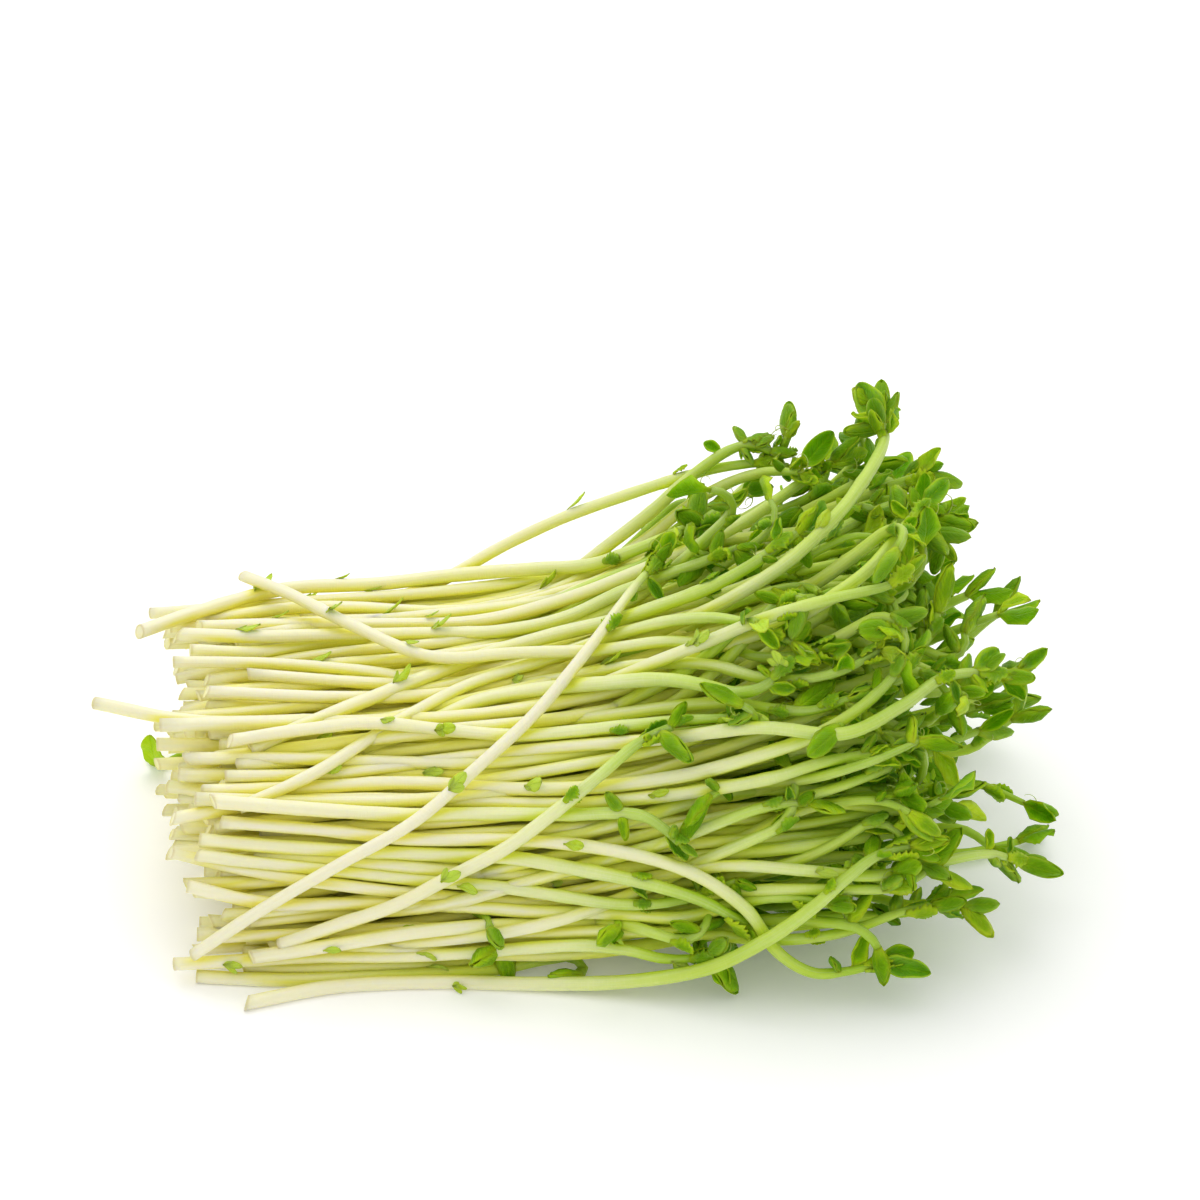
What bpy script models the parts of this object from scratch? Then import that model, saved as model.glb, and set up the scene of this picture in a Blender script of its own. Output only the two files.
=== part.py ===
"""A loose bunch of cut pea shoots lying on its side.

The cut ends point to -X and the leafy heads to +X. The shoots that can be told apart are one object each, and the
shoots between and under them are one more object, which stands out of a smaller core.

Lengths are in millimetres here, and MM turns them into Blender's metres when a mesh is made.
"""

import math
import random

import bmesh
import bpy
import numpy as np
from mathutils import Vector
from mathutils.kdtree import KDTree

MM = 0.001
SEED = 11

# Where the pile's middle stands, so that the origin is under the middle of the whole bunch
PILE_PLACE = np.array([-0.27, 0.65, 0.0])

# One shoot
STEM_RADIUS = 1.08
TIP_RADIUS = 0.92
STATIONS = np.array([0.0, 0.13, 0.27, 0.41, 0.54, 0.66, 0.76, 0.84, 0.90, 0.95, 1.0])
LINE_POINTS = 48
STRAIGHT_ENOUGH = 0.2
STEM_ROUNDNESS = 1
HIDDEN_STEM_ROUNDNESS = 0
FLAT_ENOUGH = math.radians(1.0)
BLADE_THICKNESS = 0.6
HEAD_LEAF_CORNERS = 8
SMALL_LEAF_CORNERS = 6
SMALL_LEAF_LENGTH = 6.0

# The pile's skin: a rounded section that grows to the right and ends there in a dome
SKIN_POWER = 2.4
LEFT_HALF_DEPTH = 47.0
LEFT_HEIGHT = 41.0
EXTRA_HALF_DEPTH = 9.0
EXTRA_HEIGHT = 40.0
SWELL_START = -30.0
SWELL_LENGTH = 100.0
DOME_START = 34.0
DOME_LENGTH = 54.0

# The core of inner stems, as a share of the skin, with a rib for each stem that shows between the outer ones
CORE_X = (-64.0, -26.0, -6.0, 12.0, 26.0, 38.0, 47.0, 52.0)
CORE_LEVELS = (0.82, 0.82, 0.82, 0.82, 0.78, 0.64, 0.42, 0.18)
CORE_RIBS = 36
RIB_HEIGHT = 2.0
CORE_CLEARANCE = 0.9
CORE_MARGIN_REACH = 5.0

# Shoots placed by rule. Angles run round the pile, from the front floor line over the top to the back.
GOLDEN_SHARE = 0.618
DOME_EDGE_LEVEL = 0.96
TIP_SHORTFALL = 9.0
LEAST_ANGLE = math.radians(2.0)
TURN = math.radians(9.0)
SWAY = (math.radians(1.0), math.radians(3.0))
SWAY_WAVES = 5.0
RISE_START = 0.45
HOOK_START = 0.82
HOOK_RANGE = 0.25
HOOK_LENGTH = 7.0

BACK_SHOOTS = 10
BACK_ANGLES = (math.radians(100.0), math.radians(176.0))
BACK_CUT_X = -72.0
BACK_CUT_SPREAD = 8.0
BACK_LEVELS = (0.95, 1.0)
BACK_TIP_LEVELS = (0.72, 0.95)

INNER_SHOOTS = 22
INNER_START = 22.0
INNER_ANGLES = (math.radians(6.0), math.radians(174.0))
INNER_LEVEL = 0.74
INNER_TIP_LEVEL = 0.9

CUT_END_STUBS = 20
STUB_ANGLES = (math.radians(8.0), math.radians(172.0))
STUB_LEVEL = 0.76
STUB_SINK = 4.0
STUB_LENGTH = (4.0, 13.0)
STUB_SLANT = 0.05

DOME_LEAVES = 42
DOME_LEAF_LEVEL = 0.78
DOME_LEAF_SINK = 2.5
DOME_LEAF_LEAST_HEIGHT = 4.0
DOME_MIDDLE = np.array([8.0, 0.0, 22.0])
DOME_FIRST_SECTION = 3

# Moving the stems apart until they only touch
CONTACT_GAP = 0.5
RELAX_ROUNDS = 320
PAIR_ROUNDS = 12
PAIR_REACH = 20.0
PUSH_SHARE = 0.42
SMOOTHING = 0.18
PULL_BACK = 0.012
FLOOR_GAP = 0.1

# The reference photograph: 1200 pixels wide, seen from the front and 30 degrees above
PHOTO_MIDDLE = 600.0
PHOTO_SCALE = 0.186
VIEW_PITCH = math.radians(30.0)
EYE_DISTANCE = 900.0
SIGHT_REACH = 130.0
SIGHT_STEP = 0.5
DEPTH_SMOOTHING = 12
AIM = np.array([3.7, 0.0, 53.7])
VIEW_RIGHT = np.array([1.0, 0.0, 0.0])
VIEW_UP = np.array([0.0, math.sin(VIEW_PITCH), math.cos(VIEW_PITCH)])
VIEW_BACK = np.array([0.0, -math.cos(VIEW_PITCH), math.sin(VIEW_PITCH)])

# Routes of the shoots that show in the photograph, in its pixels, from the cut end to the tip.
# side says which skin of the pile the route follows, and lift how far out of the pile it lies at both ends.
# Each leaf is the share of the stem at which it grows, and the pixel that its point reaches.
ROUTES = [
    dict(name="long_crosser", side="front", lift=(1.04, 1.05),
         line=[(193, 955), (238, 926), (310, 882), (400, 837), (463, 785), (507, 751), (553, 705), (591, 659),
               (620, 617), (636, 592), (658, 565)],
         leaves=[(1.0, (674, 545)), (0.97, (664, 608))]),
    dict(name="short_crosser", side="front", lift=(1.0, 1.06),
         line=[(280, 942), (340, 922), (400, 902), (457, 873), (515, 843), (572, 799), (607, 770), (640, 742),
               (672, 727)],
         leaves=[(1.0, (690, 704)), (1.0, (704, 736)), (0.97, (716, 758))]),
    dict(name="broad_upper", side="front", lift=(1.0, 1.04),
         line=[(250, 752), (304, 730), (361, 703), (400, 690), (457, 667), (515, 646), (572, 631), (610, 622),
               (652, 608), (700, 592), (745, 570), (785, 545), (800, 535)],
         leaves=[(1.0, (840, 505)), (0.96, (778, 518)), (1.0, (826, 566))]),
    dict(name="broad_middle", side="front", lift=(0.99, 1.02),
         line=[(240, 812), (269, 805), (335, 769), (400, 728), (477, 690), (553, 663), (601, 644), (640, 635),
               (678, 622), (717, 621), (755, 628), (793, 643)],
         leaves=[(1.0, (815, 625)), (1.0, (822, 665)), (0.95, (800, 680))]),
    dict(name="upper_wave", side="front", lift=(0.98, 1.01),
         line=[(181, 634), (230, 641), (310, 641), (400, 637), (457, 637), (515, 631), (572, 617), (610, 598),
               (649, 581), (700, 563), (738, 548)],
         leaves=[(1.0, (770, 530)), (0.95, (722, 530)), (1.0, (762, 580))]),
    dict(name="upper_rise", side="front", lift=(0.98, 0.99),
         line=[(190, 650), (260, 645), (330, 634), (400, 629), (477, 621), (534, 606), (580, 585), (640, 560),
               (670, 542), (688, 532)],
         leaves=[(1.0, (702, 548)), (1.0, (690, 512)), (0.95, (664, 522))]),
    dict(name="ridge_front", side="front", lift=(1.0, 1.0),
         line=[(139, 633), (182, 621), (254, 603), (335, 593), (400, 591), (496, 579), (587, 573), (640, 553),
               (690, 530), (722, 508)],
         leaves=[(1.0, (752, 490)), (0.95, (712, 488))]),
    dict(name="ridge_back", side="back", lift=(0.99, 1.0),
         line=[(151, 615), (182, 612), (260, 607), (360, 602), (438, 598), (534, 585), (600, 572), (650, 548),
               (700, 512), (740, 492)],
         leaves=[(1.0, (775, 484)), (0.94, (716, 492))]),
    dict(name="top_arc", side="back", lift=(0.96, 1.0),
         line=[(300, 612), (360, 602), (430, 580), (480, 556), (520, 533), (580, 509), (640, 489), (700, 471),
               (752, 463), (788, 466)],
         leaves=[(1.0, (808, 478)), (0.97, (790, 446))]),
    dict(name="top_hook", side="back", lift=(0.98, 1.02),
         line=[(400, 610), (480, 598), (560, 575), (620, 534), (656, 507), (691, 477), (722, 455), (748, 444),
               (772, 452)],
         leaves=[(1.0, (792, 467)), (0.95, (766, 434)), (0.88, (706, 438)), (0.94, (742, 428))]),
    dict(name="top_leaf", side="front", lift=(0.97, 1.02),
         line=[(420, 622), (500, 605), (560, 588), (640, 543), (690, 506), (736, 482), (770, 473), (800, 474)],
         leaves=[(1.0, (836, 432)), (1.0, (832, 462))]),
    dict(name="spear", side="back", lift=(0.96, 1.06),
         line=[(470, 640), (560, 610), (640, 570), (710, 520), (755, 480), (778, 456), (788, 436)],
         leaves=[(1.0, (786, 396)), (1.0, (800, 412))]),
    dict(name="top_cluster", side="front", lift=(0.95, 1.08),
         line=[(500, 690), (600, 650), (700, 610), (770, 572), (834, 515), (866, 474), (884, 440), (880, 418)],
         leaves=[(1.0, (882, 374)), (1.0, (862, 400)), (0.96, (848, 448)), (0.95, (850, 376)), (1.0, (888, 392))]),
    dict(name="back_leaf", side="back", lift=(0.95, 1.06),
         line=[(560, 640), (640, 600), (730, 560), (800, 530), (840, 500), (866, 488), (892, 488)],
         leaves=[(1.0, (910, 450)), (1.0, (886, 462))]),
    dict(name="upright_bud", side="front", lift=(0.95, 1.04),
         line=[(540, 700), (640, 672), (720, 645), (800, 612), (852, 581), (880, 555), (905, 526), (922, 504)],
         leaves=[(1.0, (949, 480)), (0.94, (888, 514)), (0.97, (912, 490))]),
    dict(name="side_bud", side="back", lift=(0.95, 1.03),
         line=[(560, 690), (660, 660), (760, 625), (840, 600), (900, 575), (930, 556), (942, 540)],
         leaves=[(1.0, (938, 500)), (1.0, (956, 560)), (1.0, (934, 575))]),
    dict(name="long_straight", side="front", lift=(0.97, 1.05),
         line=[(480, 722), (560, 702), (640, 675), (690, 656), (745, 635), (800, 613), (850, 597), (888, 587),
               (905, 570)],
         leaves=[(1.0, (912, 536)), (1.0, (898, 548))]),
    dict(name="pale_s_bend", side="front", lift=(0.98, 1.03),
         line=[(239, 759), (310, 752), (370, 742), (420, 722), (477, 700), (534, 687), (582, 684), (620, 678),
               (668, 677), (700, 682), (740, 692), (768, 684), (786, 664)],
         leaves=[(1.0, (796, 636)), (0.95, (796, 690))]),
    dict(name="bright_middle", side="front", lift=(1.02, 1.0),
         line=[(230, 744), (304, 736), (373, 733), (424, 736), (515, 740), (591, 733), (640, 726), (700, 720),
               (746, 717)],
         leaves=[(1.0, (770, 708)), (1.0, (764, 726)), (0.96, (748, 700))]),
    dict(name="right_reach", side="front", lift=(0.98, 1.04),
         line=[(225, 778), (310, 776), (427, 763), (505, 748), (591, 746), (650, 740), (709, 733), (774, 727),
               (830, 732), (866, 735), (892, 716), (916, 693), (944, 678), (975, 672), (1000, 676)],
         leaves=[(1.0, (1033, 698)), (1.0, (1024, 672)), (0.95, (990, 650)), (0.92, (950, 690))]),
    dict(name="middle_rise", side="front", lift=(0.98, 1.0),
         line=[(205, 790), (300, 786), (400, 781), (496, 787), (553, 791), (630, 783), (700, 772), (770, 751),
               (830, 727), (880, 690), (906, 660)],
         leaves=[(1.0, (914, 630)), (1.0, (926, 648)), (0.94, (880, 668))]),
    dict(name="green_hook", side="front", lift=(1.0, 1.03),
         line=[(213, 805), (310, 811), (400, 815), (457, 814), (534, 814), (600, 814), (630, 812), (658, 824),
               (680, 843)],
         leaves=[(1.0, (716, 876)), (0.86, (610, 796)), (0.86, (622, 830))]),
    dict(name="front_u_bend", side="front", lift=(1.0, 1.03),
         line=[(221, 821), (310, 829), (373, 839), (419, 841), (496, 841), (553, 843), (610, 852), (649, 862),
               (700, 879), (745, 915), (770, 952), (800, 972), (830, 975), (878, 964)],
         leaves=[(1.0, (932, 966)), (1.0, (920, 948)), (0.96, (880, 944))]),
    dict(name="front_droop", side="front", lift=(0.98, 1.01),
         line=[(200, 840), (300, 847), (400, 851), (505, 855), (572, 866), (630, 877), (700, 896), (742, 916),
               (762, 932)],
         leaves=[(1.0, (776, 968)), (1.0, (760, 958))]),
    dict(name="front_wave", side="front", lift=(0.98, 1.0),
         line=[(198, 855), (300, 868), (400, 877), (438, 884), (515, 889), (572, 900), (630, 908), (687, 902),
               (735, 885)],
         leaves=[(1.0, (762, 878)), (1.0, (752, 902)), (0.85, (700, 918))]),
    dict(name="front_low_wave", side="front", lift=(0.98, 1.0),
         line=[(187, 886), (240, 900), (310, 906), (400, 902), (477, 908), (553, 913), (630, 915), (668, 922),
               (720, 915), (780, 900), (830, 905)],
         leaves=[(1.0, (858, 912)), (1.0, (850, 890)), (0.94, (815, 880))]),
    dict(name="far_right", side="front", lift=(0.96, 1.0),
         line=[(500, 906), (570, 896), (640, 882), (720, 868), (790, 870), (850, 878), (900, 872), (950, 860),
               (990, 854), (1018, 861)],
         leaves=[(1.0, (1064, 876)), (1.0, (1050, 860)), (0.9, (970, 840))]),
    dict(name="floor_leaf", side="front", lift=(1.0, 1.02),
         line=[(174, 964), (253, 960), (335, 956), (429, 956), (496, 950), (572, 946), (610, 947), (639, 954),
               (672, 961), (715, 958)],
         leaves=[(1.0, (746, 1000)), (1.0, (730, 990)), (0.92, (690, 975))]),
    dict(name="floor_line", side="front", lift=(0.98, 0.98),
         line=[(215, 938), (300, 935), (400, 928), (480, 932), (560, 934), (640, 930), (720, 935), (790, 940),
               (850, 930), (900, 912), (935, 905)],
         leaves=[(1.0, (970, 905)), (1.0, (956, 888)), (0.94, (912, 890))]),
    dict(name="lowest_front", side="front", lift=(1.02, 1.03),
         line=[(246, 1003), (310, 990), (386, 981), (515, 982), (610, 980), (690, 970), (745, 947), (800, 915),
               (845, 878), (880, 853), (912, 846)],
         leaves=[(1.0, (950, 838)), (1.0, (944, 858)), (0.94, (900, 826))]),
    dict(name="raised_cut_end", side="front", lift=(1.08, 0.97),
         line=[(245, 586), (310, 611), (355, 634), (390, 655), (450, 668), (530, 662), (600, 655), (690, 640),
               (760, 655), (820, 650)],
         leaves=[(1.0, (850, 640)), (1.0, (848, 668)), (0.94, (806, 672))]),
    dict(name="kinked_cut_end", side="front", lift=(1.0, 0.97),
         line=[(95, 703), (152, 701), (180, 712), (207, 722), (270, 716), (345, 711), (430, 708), (540, 716),
               (640, 706), (730, 700), (800, 712), (850, 700)],
         leaves=[(1.0, (880, 690)), (1.0, (872, 716)), (0.93, (838, 676))]),
    dict(name="left_rows_upper", side="front", lift=(0.99, 0.98),
         line=[(173, 662), (233, 659), (310, 664), (386, 668), (440, 680), (520, 678), (600, 668), (700, 662),
               (780, 680), (850, 668), (880, 650)],
         leaves=[(1.0, (896, 624)), (1.0, (908, 650)), (0.94, (862, 636))]),
    dict(name="left_rows_middle", side="front", lift=(0.99, 0.98),
         line=[(172, 818), (202, 808), (280, 800), (360, 797), (440, 798), (520, 803), (600, 800), (680, 792),
               (760, 780), (830, 760), (890, 752)],
         leaves=[(1.0, (925, 745)), (1.0, (918, 768)), (0.94, (880, 770))]),
    dict(name="table_shoot", side="table", lift=(1.0, 1.0),
         line=[(420, 688), (360, 696), (300, 708), (235, 734), (190, 755), (158, 766)],
         leaves=[(1.0, (117, 795)), (1.0, (134, 756))]),
]

# Leaf sizes: length, and width as a share of the length
HEAD_LEAF_LENGTH = (7.0, 9.5)
HEAD_LEAF_WIDTH = (0.50, 0.66)
TRACED_LEAF_LENGTH = (5.0, 10.5)
TRACED_LEAF_TOWARD = (-0.25, 0.45)
SCALE_LEAF_LENGTH = 4.2
SCALE_LEAF_WIDTH = 0.7
SCALE_LEAF_SHARES = (0.18, 0.62)
SCALE_LEAF_OUTWARD = 0.55
STIPULE_LENGTH = 0.75
HEAD_OPENING = (0.25, 0.9)
LEAF_CURL = (0.2, 0.8)
LEAF_FOLD = (0.1, 0.45)
NECK_LENGTH = 0.17
NECK_WIDTH = 0.16

# Turning the leaves until they cross no other shoot
LEAF_TRIES = 14
LEAF_SHRINK = 0.25
FACING_SPREAD = 0.35
SAMPLES_ALONG = np.linspace(0.25, 1.0, 6)
SAMPLES_ACROSS = (-0.9, -0.45, 0.0, 0.45, 0.9)
LEAF_LEAF_DISTANCE = 1.35
LEAF_STEM_DISTANCE = 0.75
LEAF_FLOOR_DISTANCE = 0.45
LEAF_CORE_LEVEL = 0.06
NEAR_LEAF = 14.0
NEAR_STEM = 22.0

OUTER_COLOUR = (0.62, 0.74, 0.34)
OUTER_ROUGHNESS = 0.45
INNER_COLOUR = (0.50, 0.64, 0.24)
INNER_ROUGHNESS = 0.5

COLLECTION_NAME = "pea_shoot_bunch"


def smoothstep(value):
    value = np.clip(value, 0.0, 1.0)
    return value * value * (3.0 - 2.0 * value)


def unit(vector):
    return vector / max(np.linalg.norm(vector), 1e-9)


def pile_section(x):
    """Half depth and height of the pile's skin at x."""
    swell = smoothstep((x - SWELL_START) / SWELL_LENGTH)
    return LEFT_HALF_DEPTH + EXTRA_HALF_DEPTH * swell, LEFT_HEIGHT + EXTRA_HEIGHT * swell


def section_level(points):
    """How far out of the pile points are, level with X: 0 on its axis and 1 on its skin."""
    half_depth, height = pile_section(points[..., 0])
    total = (np.abs(points[..., 1]) / half_depth) ** SKIN_POWER + (np.abs(points[..., 2]) / height) ** SKIN_POWER
    return total ** (1.0 / SKIN_POWER)


def skin_level(points):
    """As section_level, with the dome at the right end counted in."""
    past = np.maximum(0.0, points[..., 0] - DOME_START) / DOME_LENGTH
    return (section_level(points) ** SKIN_POWER + past ** SKIN_POWER) ** (1.0 / SKIN_POWER)


def section_point(x, angle, level):
    """A point round the pile, with the angle counted from the front floor line over the top to the back."""
    half_depth, height = pile_section(x)
    cosine = math.cos(angle)
    depth = math.copysign(abs(cosine) ** (2.0 / SKIN_POWER), cosine)
    rise = abs(math.sin(angle)) ** (2.0 / SKIN_POWER)
    return np.array([x, -half_depth * level * depth, height * level * rise])


def dome_reach(level):
    """How far right a shoot reaches that ends on the dome at this level."""
    past = max(DOME_EDGE_LEVEL ** SKIN_POWER - level ** SKIN_POWER, 0.0) ** (1.0 / SKIN_POWER)
    return DOME_START + DOME_LENGTH * past


def spread_angle(index, between):
    """Angles that are spread evenly and never line up."""
    return between[0] + (between[1] - between[0]) * ((index * GOLDEN_SHARE) % 1.0)


def random_direction(rng):
    return np.array([rng.gauss(0, 1), rng.gauss(0, 1), rng.gauss(0, 1)])


def smooth_line(points, count):
    """A smooth curve through points, at even spacing."""
    points = np.array(points, dtype=float)
    ends = np.vstack([2 * points[0] - points[1], points, 2 * points[-1] - points[-2]])
    fine = []
    for index in range(1, len(ends) - 2):
        before, start, stop, after = ends[index - 1:index + 3]
        for step in np.linspace(0.0, 1.0, 16, endpoint=False):
            fine.append(0.5 * (2 * start + (stop - before) * step
                               + (2 * before - 5 * start + 4 * stop - after) * step ** 2
                               + (3 * start - before - 3 * stop + after) * step ** 3))
    fine.append(points[-1])
    return at_shares(np.array(fine), np.linspace(0.0, 1.0, count))


def at_shares(line, shares):
    """Points of a line at shares of its length."""
    run = np.concatenate([[0.0], np.cumsum(np.linalg.norm(np.diff(line, axis=0), axis=1))])
    return np.stack([np.interp(np.asarray(shares) * run[-1], run, column) for column in line.T], axis=-1)


def sight_line(pixel):
    """The eye's place and direction through a pixel of the photograph."""
    eye = AIM + EYE_DISTANCE * VIEW_BACK
    across = (pixel[0] - PHOTO_MIDDLE) * PHOTO_SCALE
    up = (PHOTO_MIDDLE - pixel[1]) * PHOTO_SCALE
    return eye, unit(AIM + across * VIEW_RIGHT + up * VIEW_UP - eye)


def depth_on_pile(pixel, side, level):
    """The distance from the eye at which a pixel's sight line meets the pile's skin."""
    eye, way = sight_line(pixel)
    if side == "table":
        return (STEM_RADIUS - eye[2]) / way[2]
    depths = np.arange(EYE_DISTANCE - SIGHT_REACH, EYE_DISTANCE + SIGHT_REACH, SIGHT_STEP)
    path = eye + depths[:, None] * way
    levels = np.where(path[:, 2] >= STEM_RADIUS, skin_level(path), np.inf)
    inside = np.flatnonzero(levels <= level)
    if len(inside) == 0:
        return depths[np.argmin(levels)]
    return depths[inside[0] if side == "front" else inside[-1]]


def route_line(route):
    """A traced route as a line in space."""
    pixels = smooth_line(route["line"], LINE_POINTS)
    levels = np.linspace(route["lift"][0], route["lift"][1], LINE_POINTS)
    depths = np.array([depth_on_pile(pixel, route["side"], level) for pixel, level in zip(pixels, levels)])
    for _ in range(DEPTH_SMOOTHING):
        depths[1:-1] = 0.25 * (depths[:-2] + 2 * depths[1:-1] + depths[2:])
    line = []
    for pixel, depth in zip(pixels, depths):
        eye, way = sight_line(pixel)
        line.append(eye + depth * way)
    return np.array(line)


def rule_line(rng, start_x, angle, level, tip_level):
    """A shoot placed by rule: it runs along the pile, ends on the dome and hooks a little at its tip."""
    tip_x = dome_reach(tip_level) - rng.uniform(0.0, TIP_SHORTFALL)
    turn = rng.uniform(-TURN, TURN)
    sway = rng.uniform(*SWAY)
    phase = rng.uniform(0.0, 2.0 * math.pi)
    shares = np.linspace(0.0, 1.0, LINE_POINTS)
    line = []
    for share in shares:
        late = float(smoothstep((share - RISE_START) / (1.0 - RISE_START)))
        here = angle + turn * share + sway * math.sin(phase + SWAY_WAVES * share)
        here = min(max(here, LEAST_ANGLE), math.pi - LEAST_ANGLE)
        line.append(section_point(start_x + (tip_x - start_x) * share, here, level + (tip_level - level) * late))
    hook = unit(np.array([rng.uniform(-0.4, 0.6), rng.uniform(-1.0, 1.0), rng.uniform(-0.3, 1.0)]))
    return np.array(line) + np.outer(smoothstep((shares - HOOK_START) / HOOK_RANGE), HOOK_LENGTH * hook)


def fewer_stations(line):
    """Drops the stations that a straight piece can do without."""
    chord = line[-1] - line[0]
    share = np.clip(((line - line[0]) @ chord) / (chord @ chord), 0.0, 1.0)
    away = np.linalg.norm(line - line[0] - share[:, None] * chord, axis=1)
    worst = int(np.argmax(away))
    if away[worst] < STRAIGHT_ENOUGH:
        return line[[0, -1]]
    return np.vstack([fewer_stations(line[:worst + 1])[:-1], fewer_stations(line[worst:])])


def near_pairs(middles, owner):
    """Pairs of stem pieces of different shoots whose middles are near each other."""
    tree = KDTree(len(middles))
    for index, middle in enumerate(middles):
        tree.insert(middle, index)
    tree.balance()
    pairs = []
    for index, middle in enumerate(middles):
        for _, other, _ in tree.find_range(middle, PAIR_REACH):
            if other > index and owner[other] != owner[index]:
                pairs.append((index, other))
    return np.array(pairs, dtype=int).reshape(-1, 2)


def closest_shares(start_a, stop_a, start_b, stop_b):
    """Where two straight stem pieces come closest, as shares of each."""
    way_a = stop_a - start_a
    way_b = stop_b - start_b
    apart = start_a - start_b
    aa = np.maximum((way_a * way_a).sum(1), 1e-9)
    bb = np.maximum((way_b * way_b).sum(1), 1e-9)
    ab = (way_a * way_b).sum(1)
    ac = (way_a * apart).sum(1)
    bc = (way_b * apart).sum(1)
    slant = np.maximum(aa * bb - ab * ab, 1e-6)
    share_a = np.clip((ab * bc - bb * ac) / slant, 0.0, 1.0)
    share_b = np.clip((ab * share_a + bc) / bb, 0.0, 1.0)
    share_a = np.clip((ab * share_b - ac) / aa, 0.0, 1.0)
    return share_a, share_b


def pushed_apart(flat, pairs, starts):
    """The points of all stems after one small push between every two pieces that are too near."""
    first, second = starts[pairs[:, 0]], starts[pairs[:, 1]]
    share_a, share_b = closest_shares(flat[first], flat[first + 1], flat[second], flat[second + 1])
    place_a = flat[first] + share_a[:, None] * (flat[first + 1] - flat[first])
    place_b = flat[second] + share_b[:, None] * (flat[second + 1] - flat[second])
    gap = place_a - place_b
    distance = np.maximum(np.linalg.norm(gap, axis=1), 1e-3)
    need = 2.0 * STEM_RADIUS + CONTACT_GAP
    moved = gap * (PUSH_SHARE * np.maximum(need - distance, 0.0) / distance)[:, None]
    change = np.zeros_like(flat)
    np.add.at(change, first, moved * (1.0 - share_a)[:, None])
    np.add.at(change, first + 1, moved * share_a[:, None])
    np.add.at(change, second, -moved * (1.0 - share_b)[:, None])
    np.add.at(change, second + 1, -moved * share_b[:, None])
    return flat + change


def relax(lines, inner):
    """Moves the stems apart until they only touch, and keeps them smooth, on the table and off the core."""
    count, size = lines.shape[:2]
    points = lines.copy()
    starts = (np.arange(count)[:, None] * size + np.arange(size - 1)).ravel()
    owner = np.repeat(np.arange(count), size - 1)
    for step in range(RELAX_ROUNDS):
        flat = points.reshape(-1, 3)
        if step % PAIR_ROUNDS == 0:
            pairs = near_pairs(0.5 * (flat[starts] + flat[starts + 1]), owner)
        shift = pushed_apart(flat, pairs, starts).reshape(points.shape) - lines
        settle = 1.0 - smoothstep(step / RELAX_ROUNDS)
        shift[:, 1:-1] += SMOOTHING * settle * (0.5 * (shift[:, :-2] + shift[:, 2:]) - shift[:, 1:-1])
        points = lines + shift * (1.0 - PULL_BACK * settle)
        points = np.where(inner[:, None, None], points, off_core(points))
        points[..., 2] = np.maximum(points[..., 2], STEM_RADIUS + FLOOR_GAP)
    return points


def core_level(x):
    """The core's size at x, as a share of the pile's skin, and 0 past its ends."""
    return np.interp(x, CORE_X, CORE_LEVELS, left=0.0, right=0.0)


def off_core(points):
    """Moves stems out of the core, straight away from the pile's axis."""
    half_depth, height = pile_section(points[..., 0])
    level = np.maximum(section_level(points), 0.05)
    margin = (RIB_HEIGHT + STEM_RADIUS + CORE_CLEARANCE) / np.minimum(half_depth, height)
    reach = CORE_MARGIN_REACH
    widest = np.maximum.reduce([core_level(points[..., 0] + step) for step in (-reach, 0.0, reach)])
    least = np.where(widest > 0.0, widest + margin, 0.0)
    factor = np.where(level < least, least / level, 1.0)
    moved = points.copy()
    moved[..., 1:] *= factor[..., None]
    return moved


def leaf_profile(along):
    """The blade's half width at a share of its length: a short narrow neck, then an egg shape with a point."""
    beyond = min(max((along - NECK_LENGTH) / (1.0 - NECK_LENGTH), 0.0), 1.0)
    return max(math.sin(math.pi * beyond ** 0.75) ** 0.8, NECK_WIDTH * (1.0 - along))


class Leaf:
    """One blade: where it grows, which way it points and faces, and its shape."""

    def __init__(self, root, forward, facing, length, width, curl, fold):
        self.root = root
        self.forward = unit(forward)
        self.facing = unit(facing - np.dot(facing, self.forward) * self.forward)
        self.side = np.cross(self.forward, self.facing)
        self.length = length
        self.width = width
        self.curl = curl
        self.fold = fold

    def point(self, along, across):
        """A point of the blade: along runs from root to tip, and across from -1 to 1 between its edges."""
        half = 0.5 * self.width * leaf_profile(along)
        bend = self.curl * along
        middle = self.root + self.length * along * (self.forward * (1.0 - bend * bend / 6.0) - self.facing * bend / 2.0)
        return middle + half * (across * self.side + abs(across) * self.fold * self.facing)

    def samples(self):
        return np.array([self.point(along, across) for along in SAMPLES_ALONG for across in SAMPLES_ACROSS])


def distance_to_stems(samples, lines, skip):
    """The least distance from samples to any other stem's axis."""
    others = np.delete(lines, skip, axis=0)
    starts = others[:, :-1].reshape(-1, 3)
    stops = others[:, 1:].reshape(-1, 3)
    near = np.linalg.norm(0.5 * (starts + stops) - samples.mean(axis=0), axis=1) < NEAR_STEM
    starts, stops = starts[near], stops[near]
    if len(starts) == 0:
        return np.inf
    way = stops - starts
    share = np.clip(((samples[:, None] - starts) * way).sum(2) / (way * way).sum(1), 0.0, 1.0)
    return np.linalg.norm(samples[:, None] - starts - share[..., None] * way, axis=2).min()


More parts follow.
